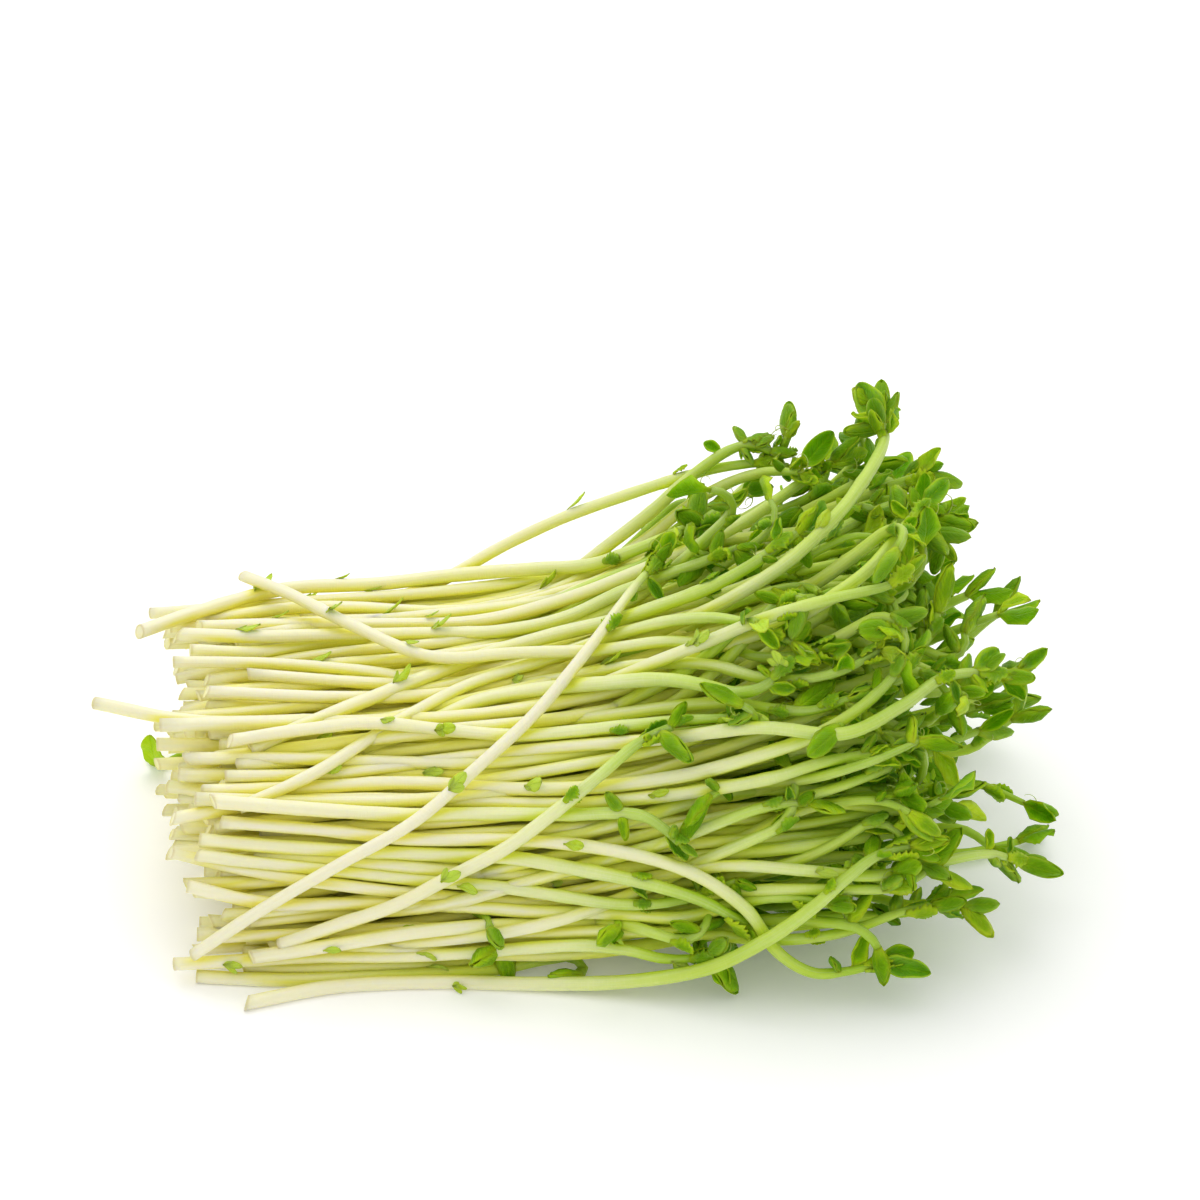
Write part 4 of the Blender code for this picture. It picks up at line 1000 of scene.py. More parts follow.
def cut_x(rng, angle):
    """Where a shoot is cut: a little further right at the front of the pile, and never in line."""
    stray = min(max(rng.gauss(0.0, 1.0), -MOST_STRAY), MOST_STRAY)
    return between((CUT_X_FRONT, CUT_X_TOP), math.sin(min(angle, 0.5 * math.pi))) + CUT_X_SPREAD * stray


def angle_round(point):
    """The angle of a point round the pile, as section_point counts it."""
    half_depth, _ = pile_section(point[0])
    share = min(abs(point[1]) / (half_depth * section_level(point)), 1.0) ** (0.5 * SKIN_POWER)
    return math.acos(-math.copysign(share, point[1]))


def lifted(line):
    """Keeps a line a stem's radius above the surface."""
    line[:, 2] = np.maximum(line[:, 2], STEM_RADIUS + FLOOR_GAP)
    return line


def swung(rng, line):
    """Lets a shoot wave on its own where it leaves the row."""
    free = smoothstep(line[:, 0] / SWING_LENGTH)
    aside = np.array([0.0, rng.gauss(0.0, 1.0), rng.gauss(0.0, 1.0)])
    wave = np.sin(line[:, 0] / rng.uniform(*SWING_PITCH) + rng.uniform(0.0, SWING_PHASE))
    return line + SWING * np.outer(free * wave, aside)


def undercut(line):
    """Raises the low shoots where the pile leaves the floor, towards its leafy end."""
    share = smoothstep((line[:, 0] - UNDERCUT_START) / UNDERCUT_LENGTH)
    low = share * np.clip(1.0 - line[:, 2] / UNDERCUT_TOP, 0.0, 1.0)
    low *= smoothstep((np.abs(line[:, 1]) - UNDERCUT_EDGE) / UNDERCUT_EDGE)
    line[:, 2] += UNDERCUT_RISE * low
    line[:, 1] *= 1.0 - UNDERCUT_DRAWN_IN * low
    return line


def loosened(rng, line):
    """Lets the cut end of a shoot stray from the row."""
    free = 1.0 - smoothstep((line[:, 0] - line[0, 0]) / LOOSE_LENGTH)
    stray = np.array([0.0, rng.gauss(0.0, LOOSE_END), rng.gauss(0.0, LOOSE_RISE * LOOSE_END)])
    return lifted(line + np.outer(free, stray))


def inside_box(point):
    """Whether a head above or below this point of the floor keeps within the solids' box."""
    low, high = np.array(CAD_BOX) / MM - PILE_PLACE
    return bool(np.all(point > low - BOX_SLACK) and np.all(point < high + BOX_SLACK))


def pixel_of(point):
    """Where the photograph shows a point."""
    from_aim = point - AIM
    per_mm = EYE_DISTANCE / (EYE_DISTANCE - from_aim @ VIEW_BACK) / PHOTO_SCALE
    return PHOTO_MIDDLE + per_mm * (from_aim @ VIEW_RIGHT), PHOTO_MIDDLE - per_mm * (from_aim @ VIEW_UP)


def past_edge(point):
    """How many pixels a point is to the right of the outline that the photograph shows."""
    x, y = pixel_of(point)
    across, down = zip(*RIGHT_EDGE)
    return x - np.interp(y, down, across)


def within_edge(rng, line):
    """Shortens a shoot that would reach past the outline with its head."""
    room = rng.uniform(*EDGE_ROOM)
    shares = np.linspace(LEAST_KEPT, 1.0, KEPT_STEPS)
    kept = [share for share, point in zip(shares, at_shares(line, shares)) if past_edge(point) < -room]
    return at_shares(line, np.linspace(0.0, max(kept, default=LEAST_KEPT), len(line)))


def hooked(rng, line):
    """Adds the thin neck that bends over below the head."""
    for _ in range(NECK_TRIES):
        way = unit(line[-1] - line[-2])
        axis = unit(np.cross(way, random_direction(rng) + NECK_LEAN))
        turn = rng.uniform(*NECK_TURN) / NECK_POINTS
        step = rng.uniform(*NECK_REACH) / NECK_POINTS
        points = list(line)
        for _ in range(NECK_POINTS):
            way = unit(turned_round(way, axis, turn))
            points.append(points[-1] + step * way)
        head = points[-1] + HEAD_REACH * way
        if inside_box(head * np.array([1.0, 1.0, 0.0])) and past_edge(head) < EDGE_SLACK:
            break
    return lifted(np.array(points))


def smoothed(lines, free):
    """Takes the small kinks out of the free stretches of lines."""
    lines = lines.copy()
    for _ in range(SMOOTH_ROUNDS):
        middle = 0.5 * (lines[:, :-2] + lines[:, 2:]) - lines[:, 1:-1]
        lines[:, 1:-1] += 0.5 * middle * free[:, 1:-1, None]
    return lines


def shell_line(rng, index):
    """A shoot in the two layers that show between the traced ones."""
    step = (SHELL_ANGLES[1] - SHELL_ANGLES[0]) * (index + rng.uniform(*SHELL_SPACING)) / SHELL_SHOOTS
    angle = SHELL_ANGLES[0] + step
    level = SHELL_LEVELS[index % 2] - rng.uniform(0.0, SHELL_LEVEL_STRAY) - TOP_DROP * math.sin(angle) ** 2
    shortfall = SHELL_SHORTFALL * rng.random() ** 2
    start_x = cut_x(rng, angle)
    line = rule_line(rng, start_x, angle, level, rng.uniform(*SHELL_TIP_LEVELS), shortfall, SHELL_TURN)
    return undercut(swung(rng, loosened(rng, line)))


def floor_line(rng, index):
    """A shoot on the floor, just behind the frontmost one."""
    shares = np.linspace(0.0, 1.0, RULE_POINTS)
    start = FLOOR_FILL_START + rng.uniform(*FLOOR_FILL_STARTS)
    along = between((start, rng.uniform(*FLOOR_FILL_ENDS)), shares)
    late = smoothstep((shares - FLOOR_FILL_LATE) / (1.0 - FLOOR_FILL_LATE))
    depth = FLOOR_FILL_FRONT + FLOOR_FILL_SPACING * index + np.sin(along / FLOOR_FILL_WAVE + 2.0 * index)
    height = STEM_RADIUS + FLOOR_GAP + FLOOR_FILL_STEP * (index % 2) + rng.uniform(*FLOOR_FILL_RISE) * late
    return lifted(np.stack([along, depth + FLOOR_FILL_DRAWN_IN * late, height], axis=-1))


def followed_back(rng, angle, level, end, points):
    """The hidden stretch of a shoot, from where it is cut to where its own stations start."""
    return [section_point(x, angle, level) for x in np.linspace(cut_x(rng, angle), end, points)]


def whole_line(rng, line):
    """A traced shoot whose cut end is hidden, followed back through the pile to that end."""
    start = line[0]
    if start[0] < HIDDEN_START or line[-1][0] < start[0]:
        return line, 0
    level = section_level(start) - HIDDEN_SINK
    hidden = followed_back(rng, angle_round(start), level, start[0] - HIDDEN_GAP, 7)
    return lifted(np.vstack([hidden, line])), len(hidden)


def whole_inner_line(rng, index, stations):
    """An inner shoot from its cut end on, where the solid shows only its head."""
    level = INNER_LEVEL * disc_share(index, INNER_SHOOTS)
    hidden = followed_back(rng, spread_angle(index, INNER_ANGLES), level, INNER_START - INNER_GAP, 6)
    return loosened(rng, np.vstack([hidden, stations]))


def dome_line(rng, index, root):
    """The shoot that carries one leaf of the dome."""
    level = DOME_LEAF_LEVEL * disc_share(index, DOME_LEAVES)
    hidden = followed_back(rng, spread_angle(index, DOME_ANGLES), level, root[0] - DOME_GAP, 8)
    return loosened(rng, np.vstack([hidden, root]))


def packed_line(rng, y, z):
    """A shoot inside the pile, which sways together with its neighbours."""
    start = np.array([BACK_CUT_X, y, z])
    start_x = cut_x(rng, angle_round(start))
    shares = np.linspace(0.0, 1.0, RULE_POINTS)
    along = between((start_x, dome_x(float(section_level(start))) + rng.uniform(*PACK_TIPS)), shares)
    first_depth, first_height = pile_section(BACK_CUT_X)
    half_depth, height = pile_section(along)
    grow = 1.0 + rng.uniform(0.0, PACK_FAN) * smoothstep((shares - RISE_START) / (1.0 - RISE_START))
    free = smoothstep((along - BACK_CUT_X) / PACK_SWAY_START)
    sway_depth = PACK_SWAY[0] * free * np.sin(along / PACK_WAVES[0] + z / PACK_ROW_WAVES[0])
    sway_rise = PACK_SWAY[1] * free * np.sin(along / PACK_WAVES[1] + y / PACK_ROW_WAVES[1])
    depth = y * half_depth / first_depth * grow + sway_depth
    rise = z * height / first_height * grow + sway_rise
    return hooked(rng, undercut(swung(rng, loosened(rng, np.stack([along, depth, rise], axis=-1)))))


def packed_lines(rng, taken):
    """Rows of shoots that fill the middle of the pile around those already there."""
    lines = []
    row_height = ROW_SHARE * PACK_SPACING
    for row in range(int(LEFT_HEIGHT / row_height)):
        z = STEM_RADIUS + PACK_BOTTOM + row * row_height
        for y in np.arange(-LEFT_HALF_DEPTH + 0.5 * PACK_SPACING * (row % 2), LEFT_HALF_DEPTH, PACK_SPACING):
            place = np.array([y, z]) + [rng.uniform(-most, most) for most in PACK_STRAY]
            inside = section_level(np.array([BACK_CUT_X, *place])) < PACK_LEVEL
            if inside and np.linalg.norm(taken - place, axis=1).min() > PACK_CLEARANCE:
                lines.append(packed_line(rng, *place))
    return lines


def quick_head(rng, line, amount, size=1.0):
    """Leaflets round a tip, some of them bent back along the neck, without a look at their neighbours."""
    way = unit(line[-1] - line[-2])
    around = any_side(rng, way)
    leaves = []
    for index in range(amount):
        outward = turned_round(around, way, math.pi * index + rng.uniform(-HEAD_TWIST, HEAD_TWIST))
        length = size * rng.uniform(*HEAD_LEAF_LENGTH) * (1.0 if index == 0 else rng.uniform(*HEAD_SMALLER))
        bend = rng.uniform(*BEND_BACK) * (FIRST_BEND if index == 0 else 1.0)
        root = at_shares(line, [FIRST_ROOT if index == 0 else rng.uniform(*HEAD_ROOTS)])[0]
        forward = math.cos(bend) * way + math.sin(bend) * outward
        facing = outward + 0.3 * way
        width = length * rng.uniform(*HEAD_LEAF_WIDTH)
        curl = rng.uniform(*HEAD_CURL)
        leaves.append(Leaf(root, forward, facing, length, width, curl, rng.uniform(*LEAF_FOLD)))
    return [leaf for leaf in leaves if leaf.point(1.0, 0.0)[2] > LEAST_TIP_HEIGHT]


def crumpled_head(rng, line):
    """The dense tuft of leaves that stands up at the very top."""
    leaves = []
    for index in range(CLUSTER_LEAVES):
        root = at_shares(line, [1.0 - CLUSTER_SPAN * index / CLUSTER_LEAVES])[0]
        turn = CLUSTER_TURN * index + rng.uniform(-CLUSTER_TWIST, CLUSTER_TWIST)
        outward = np.array([math.cos(turn), math.sin(turn), 0.0])
        forward = unit(CLUSTER_LEAN + rng.uniform(*CLUSTER_SPREAD) * outward)
        length = rng.uniform(*CLUSTER_LENGTH)
        facing = rng.choice((-1.0, 1.0)) * outward
        width = rng.uniform(*POD_WIDTH) * length
        curl = rng.uniform(*CLUSTER_CURL)
        base = root + CLUSTER_LIFT * outward
        leaves.append(Leaf(base, forward, facing, length, width, curl, rng.uniform(*LEAF_FOLD)))
    return leaves


Shoot = collections.namedtuple("Shoot", ("stations", "leaves"))


def evened(line):
    return at_shares(smooth_line(line, EVEN_SOURCE_POINTS), EVEN_SHARES)


@functools.lru_cache(maxsize=None)
def bunch():
    """Every shoot of the bunch: the outer ones, those between them, and those packed inside."""
    stations, leaves, outer_count, loose_leaves = lay_out()
    rng = random.Random(SEED + 2)
    inner = []
    for index, (line, group) in enumerate(zip(stations[outer_count:], leaves[outer_count:])):
        inner.append(Shoot(whole_inner_line(rng, index, line), group))
    for index, leaf in enumerate(loose_leaves):
        inner.append(Shoot(dome_line(rng, index, leaf.root), [leaf]))
    whole_lines = [whole_line(rng, line) for line in stations[:outer_count]]
    placed = [evened(whole) for whole, _ in whole_lines] + [evened(shoot.stations) for shoot in inner]
    free = [at_shares(shell_line(rng, index), EVEN_SHARES) for index in range(SHELL_SHOOTS)]
    free += [at_shares(floor_line(rng, index), EVEN_SHARES) for index in range(FLOOR_FILL)]
    lines = np.array(placed + free)
    held = np.zeros(lines.shape[:2], dtype=bool)
    held[:len(placed)] = True
    for shoot, (_, hidden) in enumerate(whole_lines):
        if hidden:
            held[shoot] = lines[shoot, :, 0] > stations[shoot][0, 0] - HELD_MARGIN
    fixed = np.arange(len(lines)) < len(placed)
    lines = relax(lines, fixed, held, STEM_RADIUS + SHELL_MARGIN, SHELL_ROUNDS, SHELL_REACH)
    lines = smoothed(lines, ~held)
    outer = []
    for shoot, (_, hidden) in enumerate(whole_lines):
        line = stations[shoot]
        if hidden:
            joined = placed[shoot][:, 0] < line[0, 0] - JOINED_MARGIN
            line = np.vstack([lines[shoot][joined], line])
        outer.append(Shoot(line, leaves[shoot]))
    shell = []
    for line in lines[len(placed):]:
        line = hooked(rng, within_edge(rng, line))
        shell.append(Shoot(line, quick_head(rng, line, rng.choice(SHELL_LEAVES))))
    taken = np.array([shoot.stations[1][1:] for shoot in inner])
    for line in packed_lines(rng, taken):
        inner.append(Shoot(line, quick_head(rng, line, rng.choice(PACK_LEAVES))))
    return outer, shell, inner


# Blanks: straight shapes that are modelled once, and bent into every place where they are used
def stem_blank(sides, rings):
    """A straight stem of one unit, with a rim inset in both ends."""
    bm = bmesh.new()
    bmesh.ops.create_cone(bm, cap_ends=True, segments=sides, radius1=1.0, radius2=1.0, depth=1.0)
    bmesh.ops.translate(bm, verts=bm.verts, vec=(0.0, 0.0, 0.5))
    long_edges = [edge for edge in bm.edges if abs(edge.verts[0].co.z - edge.verts[1].co.z) > 0.5]
    bmesh.ops.subdivide_edges(bm, edges=long_edges, cuts=rings - 2, use_grid_fill=True)
    ends = [face for face in bm.faces if len(face.verts) == sides]
    bmesh.ops.inset_individual(bm, faces=ends, thickness=CUT_INSET)
    for face in bm.faces:
        face.smooth = len({round(vert.co.z, 4) for vert in face.verts}) > 1
    return finished_blank(bm, "stem_blank", 0)


def blade_blank(along, across):
    """A flat square blade of one unit, closed and with an upper and a lower face."""
    bm = bmesh.new()
    bmesh.ops.create_grid(bm, x_segments=across, y_segments=along, size=1.0)
    grown = bmesh.ops.extrude_face_region(bm, geom=bm.faces[:])
    upper = [item for item in grown["geom"] if isinstance(item, bmesh.types.BMVert)]
    bmesh.ops.translate(bm, verts=upper, vec=(0.0, 0.0, 1.0))
    bmesh.ops.recalc_face_normals(bm, faces=bm.faces)
    for face in bm.faces:
        face.smooth = True
    return finished_blank(bm, "blade_blank", 1)


def finished_blank(bm, name, material_index):
    for face in bm.faces:
        face.material_index = material_index
    return mesh_of(bm, name)


def mesh_of(bm, name):
    mesh = bpy.data.meshes.new(name)
    bm.to_mesh(mesh)
    bm.free()
    return mesh


def added(name, data):
    """A new object in the scene."""
    made = bpy.data.objects.new(name, data)
    bpy.context.scene.collection.objects.link(made)
    return made


def blank_points(mesh):
    points = np.empty(len(mesh.vertices) * 3, np.float32)
    mesh.vertices.foreach_get("co", points)
    return points.reshape(-1, 3).astype(float)


class Blanks:
    """The shapes that every cluster is made of."""

    def __init__(self):
        self.fine_stem = stem_blank(FINE_SIDES, FINE_RINGS)
        self.plain_stem = stem_blank(PLAIN_SIDES, PLAIN_RINGS)
        self.fine_blade = blade_blank(14, 8)
        self.plain_blade = blade_blank(6, 4)
        self.toothed_blade = blade_blank(18, 4)
        self.ragged_blade = blade_blank(11, 2)
        self.tendril = stem_blank(5, TENDRIL_RINGS)

    def remove(self):
        for mesh in vars(self).values():
            bpy.data.meshes.remove(mesh)


class Cluster:
    """Gathers bent copies of blanks, and makes one piece of them."""

    def __init__(self):
        self.copies = []

    def add(self, blank, places, skin, tone):
        self.copies.append((blank, places, skin, tone))

    def make(self, name, nodes):
        """One closed mesh at the origin, that rides on the bunch and stands for its solids."""
        blanks, places, skins, tones = zip(*self.copies)
        bm = bmesh.new()
        for blank in blanks:
            bm.from_mesh(blank)
        mesh = mesh_of(bm, name)
        in_metres = (np.concatenate(places) + PILE_PLACE) * MM
        mesh.vertices.foreach_set("co", in_metres.astype(np.float32).ravel())
        for title, values in (("skin", skins), ("tone", tones)):
            attribute = mesh.attributes.new(title, "FLOAT_VECTOR", "POINT")
            attribute.data.foreach_set("vector", np.concatenate(values).astype(np.float32).ravel())
        for finish in (STEM_FINISH, LEAF_FINISH):
            mesh.materials.append(bpy.data.materials[finish])
        mesh.update()
        piece = added(name, mesh)
        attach(piece, "root")
        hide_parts(*nodes)


def directions(points):
    """Along a line and in two directions across it, which don't twist."""
    ways = np.gradient(points, axis=0)
    ways /= np.linalg.norm(ways, axis=1)[:, None]
    side = unit(np.cross(ways[0], [0.0, 0.3, 1.0]))
    sides = []
    for way in ways:
        side = unit(side - np.dot(side, way) * way)
        sides.append(side)
    sides = np.array(sides)
    return ways, sides, np.cross(ways, sides)


def stem_thickness(from_tip, rng):
    """The stem's radius: it tapers into a thin neck, and swells a little at its joints."""
    sizes = bpy.context.scene.pea_shoot_sizes
    stem, neck = 0.5 * sizes.stem_width / MM, 0.5 * sizes.neck_width / MM
    radius = stem * rng.uniform(*STEM_SPREAD) + (neck - stem) * np.exp(-((from_tip / NECK_TAPER) ** 1.3))
    for place, stray in JOINTS:
        joint = place + rng.uniform(-stray, stray) if stray else place
        radius = radius * (1.0 + JOINT_SWELL * np.exp(-((from_tip - joint) / JOINT_LENGTH) ** 2))
    return radius * (1.0 + UNEVENNESS * np.sin(from_tip * 0.6 + rng.uniform(0.0, ANY_PHASE)))


def outward_in_pile(points):
    """The direction straight out of the pile at each point."""
    half_depth, height = pile_section(points[:, 0])
    forward = 0.004 * np.maximum(points[:, 0] - DOME_START, 0.0)
    ways = np.stack([forward, points[:, 1] / half_depth ** 2, points[:, 2] / height ** 2], axis=-1)
    return ways / np.maximum(np.linalg.norm(ways, axis=1), 1e-6)[:, None]


def depth_in_pile(points):
    """0 on the pile's skin and 1 well inside it."""
    return np.clip((OPEN_LEVEL - skin_level(points)) / SHADE_DEPTH, 0.0, 1.0)


@functools.lru_cache(maxsize=None)
def stem_tree():
    """Finds how far a place is from the middle of the nearest stem."""
    points = []
    for shoot in itertools.chain(*bunch()):
        fine = smooth_line(shoot.stations, 80)
        points.extend(at_shares(fine, np.linspace(0.0, 1.0, int(line_length(fine) / TREE_STEP) + 2)))
    return tree_of(points)


def crowding(places, ways_out, radius):
    """0 on open skin, and 1 where another stem lies right against it."""
    free = np.ones(len(places))
    find = stem_tree().find
    for probe in PROBES:
        nearest = np.array([find(spot)[2] for spot in places + probe * ways_out])
        free *= np.clip(nearest / (probe + radius), 0.0, 1.0)
    return 1.0 - free


def shade_of_stem(places, normals, points, radius, run):
    """0 in full light, and up to 1 deep in the pile, below its leafy end or against another stem."""
    away = FACING_AWAY - (normals * outward_in_pile(points)).sum(axis=1)
    crowd = CROWDED_SHADE * crowding(places, normals, radius)
    sunk = np.maximum(DEEP_SHADE * depth_in_pile(points) + INWARD_SHADE * np.maximum(away, 0.0), crowd)
    sunk *= 0.4 + 0.6 * smoothstep(run / OPEN_END)
    under = np.clip((OVERHANG_TOP - points[:, 2]) / OVERHANG_DEPTH, 0.0, 1.0)
    sunk += OVERHANG_SHADE * (smoothstep((points[:, 0] - OVERHANG_START) / OVERHANG_LENGTH) * under)
    return np.clip(sunk, 0.0, 1.0)


def green_of_stem(points, from_tip, reach):
    """0 where a stem is cream, and up to 1 near the head and towards the right of the pile."""
    by_tip = NECK_GREEN * np.exp(-(from_tip / reach) ** 0.9)
    # Low stems turn greener and darker further left: partly their own colour and partly painted shade under
    # the pile
    low = np.maximum(GREEN_LOW - points[:, 2], 0.0)
    by_place = GREEN_RIGHT * smoothstep((points[:, 0] + GREEN_START + 1.2 * low) / GREEN_LENGTH)
    return np.maximum(by_tip, by_place)


def ring_shares(length, rings):
    """Where the rings of a stem sit: closer to each other towards the tip, where it bends most."""
    tip = min(TIP_STRETCH / length, 0.7)
    return np.interp(np.linspace(0.0, 1.0, rings), [0.0, 1.0 - TIP_RING_SHARE, 1.0], [0.0, 1.0 - tip, 1.0])


def add_stem(cluster, blank, line, rings, rng, tint, green_reach=GREEN_REACH):
    """Bends a stem blank along a line, and gives back what tells its radius at a share of its length."""
    fine = smooth_line(line, 6 * rings)
    length = line_length(fine)
    shares = ring_shares(length, rings)
    ring_points = at_shares(fine, shares)
    ring_runs = shares * length
    ways, sides, ups = directions(ring_points)
    radii = stem_thickness(ring_runs[-1] - ring_runs, rng)
    shape = blank_points(blank)
    ring = np.rint(shape[:, 2] * (rings - 1)).astype(int)
    across = np.hypot(shape[:, 0], shape[:, 1])
    turn = np.arctan2(shape[:, 1], shape[:, 0])
    points, run, radius = ring_points[ring], ring_runs[ring], radii[ring]
    from_tip = ring_runs[-1] - run
    normals = np.cos(turn)[:, None] * sides[ring] + np.sin(turn)[:, None] * ups[ring]
    edges = 1.0 + SQUARENESS * np.cos(4.0 * turn + tint * 9.0) * np.exp(-from_tip / SQUARE_REACH)
    places = points + (radius * across * edges)[:, None] * normals
    slant = CUT_SLANT * (1.0 + math.sin(17.0 * tint)) * radii[0] * across * np.cos(turn - 40.0 * tint)
    inner_cut = (across < 0.9) & (ring == 0)
    places += (CUT_DIP * inner_cut + slant * (ring == 0))[:, None] * ways[0]
    places[:, 2] = np.maximum(places[:, 2], LEAST_HEIGHT)
    skin = np.stack([np.cos(turn) * across, np.sin(turn) * across, run], axis=-1)
    green = green_of_stem(points, from_tip, green_reach)
    # Painted shade for the stem's colour, kept in the third number of the attribute
    shade = shade_of_stem(places, normals, points, radius, run)
    cluster.add(blank, places, skin, np.stack([green, np.full(len(ring), tint), shade], axis=-1))
    return lambda share: float(np.interp(share, shares, radii))


class Blade(typing.NamedTuple):
    """How a leaf is shaped in the looks: how far it wraps round, waves and bulges, and how toothed it is."""

    leaf: Leaf
    wrap: float
    wave: float = 0.0
    teeth: float = 0.0
    centred: float = 0.0
    thickness: float = BLADE_THICKNESS
    shade: float = 0.5
    blunt: float = 0.0
    root: float = ROOT_THICKNESS


def oval(share, power):
    """A rounded outline from 0 to 1 and back to 0."""
    return (1.0 - np.minimum(np.abs(2.0 * share - 1.0), 1.0) ** power) ** (1.0 / power)


def blade_profile(along, blade):
    """Half width at a share of the length, with teeth that point forward if it has any."""
    beyond = np.clip((along - NECK_LENGTH) / (1.0 - NECK_LENGTH), 0.0, 1.0)
    half = np.maximum(oval(beyond ** 0.82, 1.75), NECK_WIDTH * (1.0 - along))
    if blade.blunt > 0.0:
        half = np.maximum(oval(along ** 0.9, 1.5 + 0.45 * blade.blunt), 0.34 * (1.0 - along) ** 2)
    if blade.teeth > 0.0:
        half = np.maximum(half, 0.5 * (1.0 - along) + 0.1)
        saw = (along * TEETH) % 1.0 - TOOTH_POINT
        half = half * (1.0 + blade.teeth * saw * smoothstep((TOOTHED_END - along) / 0.2))
    return np.maximum(half, 0.02)


def add_blade(cluster, blank, blade, rng):
    """Bends a blade blank into a leaf."""
    leaf = blade.leaf
    shape = blank_points(blank)
    across, along, upper = shape[:, 0], 0.5 * (shape[:, 1] + 1.0), shape[:, 2]
    if blade.teeth == 0.0:
        along = along + ROUND_END_ROWS * (0.5 - 0.5 * np.cos(np.pi * along) - along)
    half = 0.5 * leaf.width * blade_profile(along, blade)
    turn = blade.wrap * across
    lateral = half * np.sin(turn) / blade.wrap
    rise = half * (1.0 - np.cos(turn)) / blade.wrap
    rise -= blade.centred * half * (1.0 - math.cos(blade.wrap)) / blade.wrap
    edge_wave = np.sin(along * EDGE_WAVES + np.sign(across) + rng.uniform(0.0, ANY_PHASE))
    rise += blade.wave * half * across ** 2 * edge_wave
    lumps = np.sin(LUMP_WAVES[0] * across + rng.uniform(0.0, ANY_PHASE))
    lumps = lumps * np.sin(LUMP_WAVES[1] * along + rng.uniform(0.0, ANY_PHASE))
    rise += LUMPS * leaf.width * lumps * smoothstep(along / LUMP_START)
    bend = leaf.curl * along
    forward = along * leaf.length * (1.0 - bend * bend / 6.0)
    drop = along * leaf.length * bend / 2.0
    out = (upper - 0.5) * (blade.thickness + blade.root * np.exp(-along / ROOT_REACH))
    lateral = lateral - out * np.sin(turn)
    rise = rise - drop + out * np.cos(turn)
    places = leaf.root + forward[:, None] * leaf.forward + lateral[:, None] * leaf.side
    places = places + rise[:, None] * leaf.facing
    places[:, 2] = np.maximum(places[:, 2], BLADE_LEAST_HEIGHT[0] + BLADE_LEAST_HEIGHT[1] * upper)
    # The third number is painted shade: how deep in the pile the leaf grows
    tone = np.tile([blade.shade, rng.uniform(-1.0, 1.0), float(depth_in_pile(leaf.root))], (len(along), 1))
    cluster.add(blank, places, np.stack([across, along, upper], axis=-1), tone)


def turned_leaf(leaf, turn, length, width):
    """A leaf like another one, turned round the direction in which that one points."""
    facing = math.cos(turn) * leaf.facing + math.sin(turn) * leaf.side
    return Leaf(leaf.root, leaf.forward, facing, length * leaf.length, width, leaf.curl, leaf.fold)


def leaf_room(leaf):
    """How far the outer part of a leaf keeps from the middle of any stem."""
    places = [leaf.point(along, across) for along in ROOM_ALONG for across in ROOM_ACROSS]
    return min(stem_tree().find(place)[2] for place in places)


def cleared(rng, leaf):
    """The leaf, turned aside where it would cross a stem."""
    best, most_room = leaf, leaf_room(leaf)
    for attempt in range(1, LEAF_TURNS + 1):
        if most_room > LEAF_ROOM:
            break
        forward = leaf.forward + LEAF_TURN * attempt * random_direction(rng)
        turned = Leaf(leaf.root, forward, leaf.facing, leaf.length, leaf.width, leaf.curl, leaf.fold)
        if leaf_room(turned) > most_room:
            best, most_room = turned, leaf_room(turned)
    return best


def dress_leaf(cluster, blank, leaf, rng):
    """A leaflet as it grows: closed to a pod with its twin, folded, or open."""
    leaf = cleared(rng, leaf)
    kind = rng.random()
    shade = rng.random() * (POD_SHADE if kind < POD_SHARE else LEAF_SHADE)
    if kind < POD_SHARE:
        width = leaf.length * rng.uniform(*POD_WIDTH)
        forward = leaf.forward - POD_STRAIGHTENING * leaf.curl * leaf.facing
        straight = Leaf(leaf.root, forward, leaf.facing, leaf.length, width, POD_CURL * leaf.curl, leaf.fold)
        wrap = rng.uniform(*POD_WRAP)
        blunt = rng.uniform(*POD_BLUNTNESS)
        for turn, size in POD_SIDES:
            half = turned_leaf(straight, turn + rng.uniform(-POD_TWIST, POD_TWIST), size, width * size)
            half.curl *= math.cos(turn)
            blade = Blade(half, wrap, wave=0.07, centred=1.0, shade=shade, blunt=blunt)
            add_blade(cluster, blank, blade, rng)
    elif kind < FOLDED_SHARE:
        wide = turned_leaf(leaf, 0.0, 1.0, FOLDED_WIDTH * leaf.width)
        wrap = rng.uniform(*FOLDED_WRAP)
        add_blade(cluster, blank, Blade(wide, wrap, wave=0.3, centred=0.5, shade=shade), rng)
    else:
        add_blade(cluster, blank, Blade(leaf, 0.3 + 1.6 * leaf.fold, wave=0.2, shade=shade), rng)


def add_tendril(cluster, blank, root, way, rng, length, width):
    """A fine thread that curls up towards its end."""
    bend = any_side(rng, way)
    points = [root]
    step = length / TENDRIL_STEPS
    for index in range(TENDRIL_STEPS):
        swing = 0.1 + 0.055 * index
        way = unit(way + swing * np.cross(bend, way) + 0.12 * random_direction(rng))
        points.append(points[-1] + step * way)
    points = at_shares(lifted(np.array(points)), np.linspace(0.0, 1.0, TENDRIL_RINGS))
    _, sides, ups = directions(points)
    shape = blank_points(blank)
    ring = np.rint(shape[:, 2] * (TENDRIL_RINGS - 1)).astype(int)
    wide = (0.5 * width * (1.0 - 0.7 * ring / (TENDRIL_RINGS - 1)))[:, None]
    places = points[ring] + wide * (shape[:, :1] * sides[ring] + shape[:, 1:2] * ups[ring])
    skin = np.stack([shape[:, 0], shape[:, 1], 0.5 * ring], axis=-1)
    tone = np.tile([0.82, rng.uniform(-1.0, 1.0), 0.0], (len(ring), 1))
    cluster.add(blank, places, skin, tone)
    return points


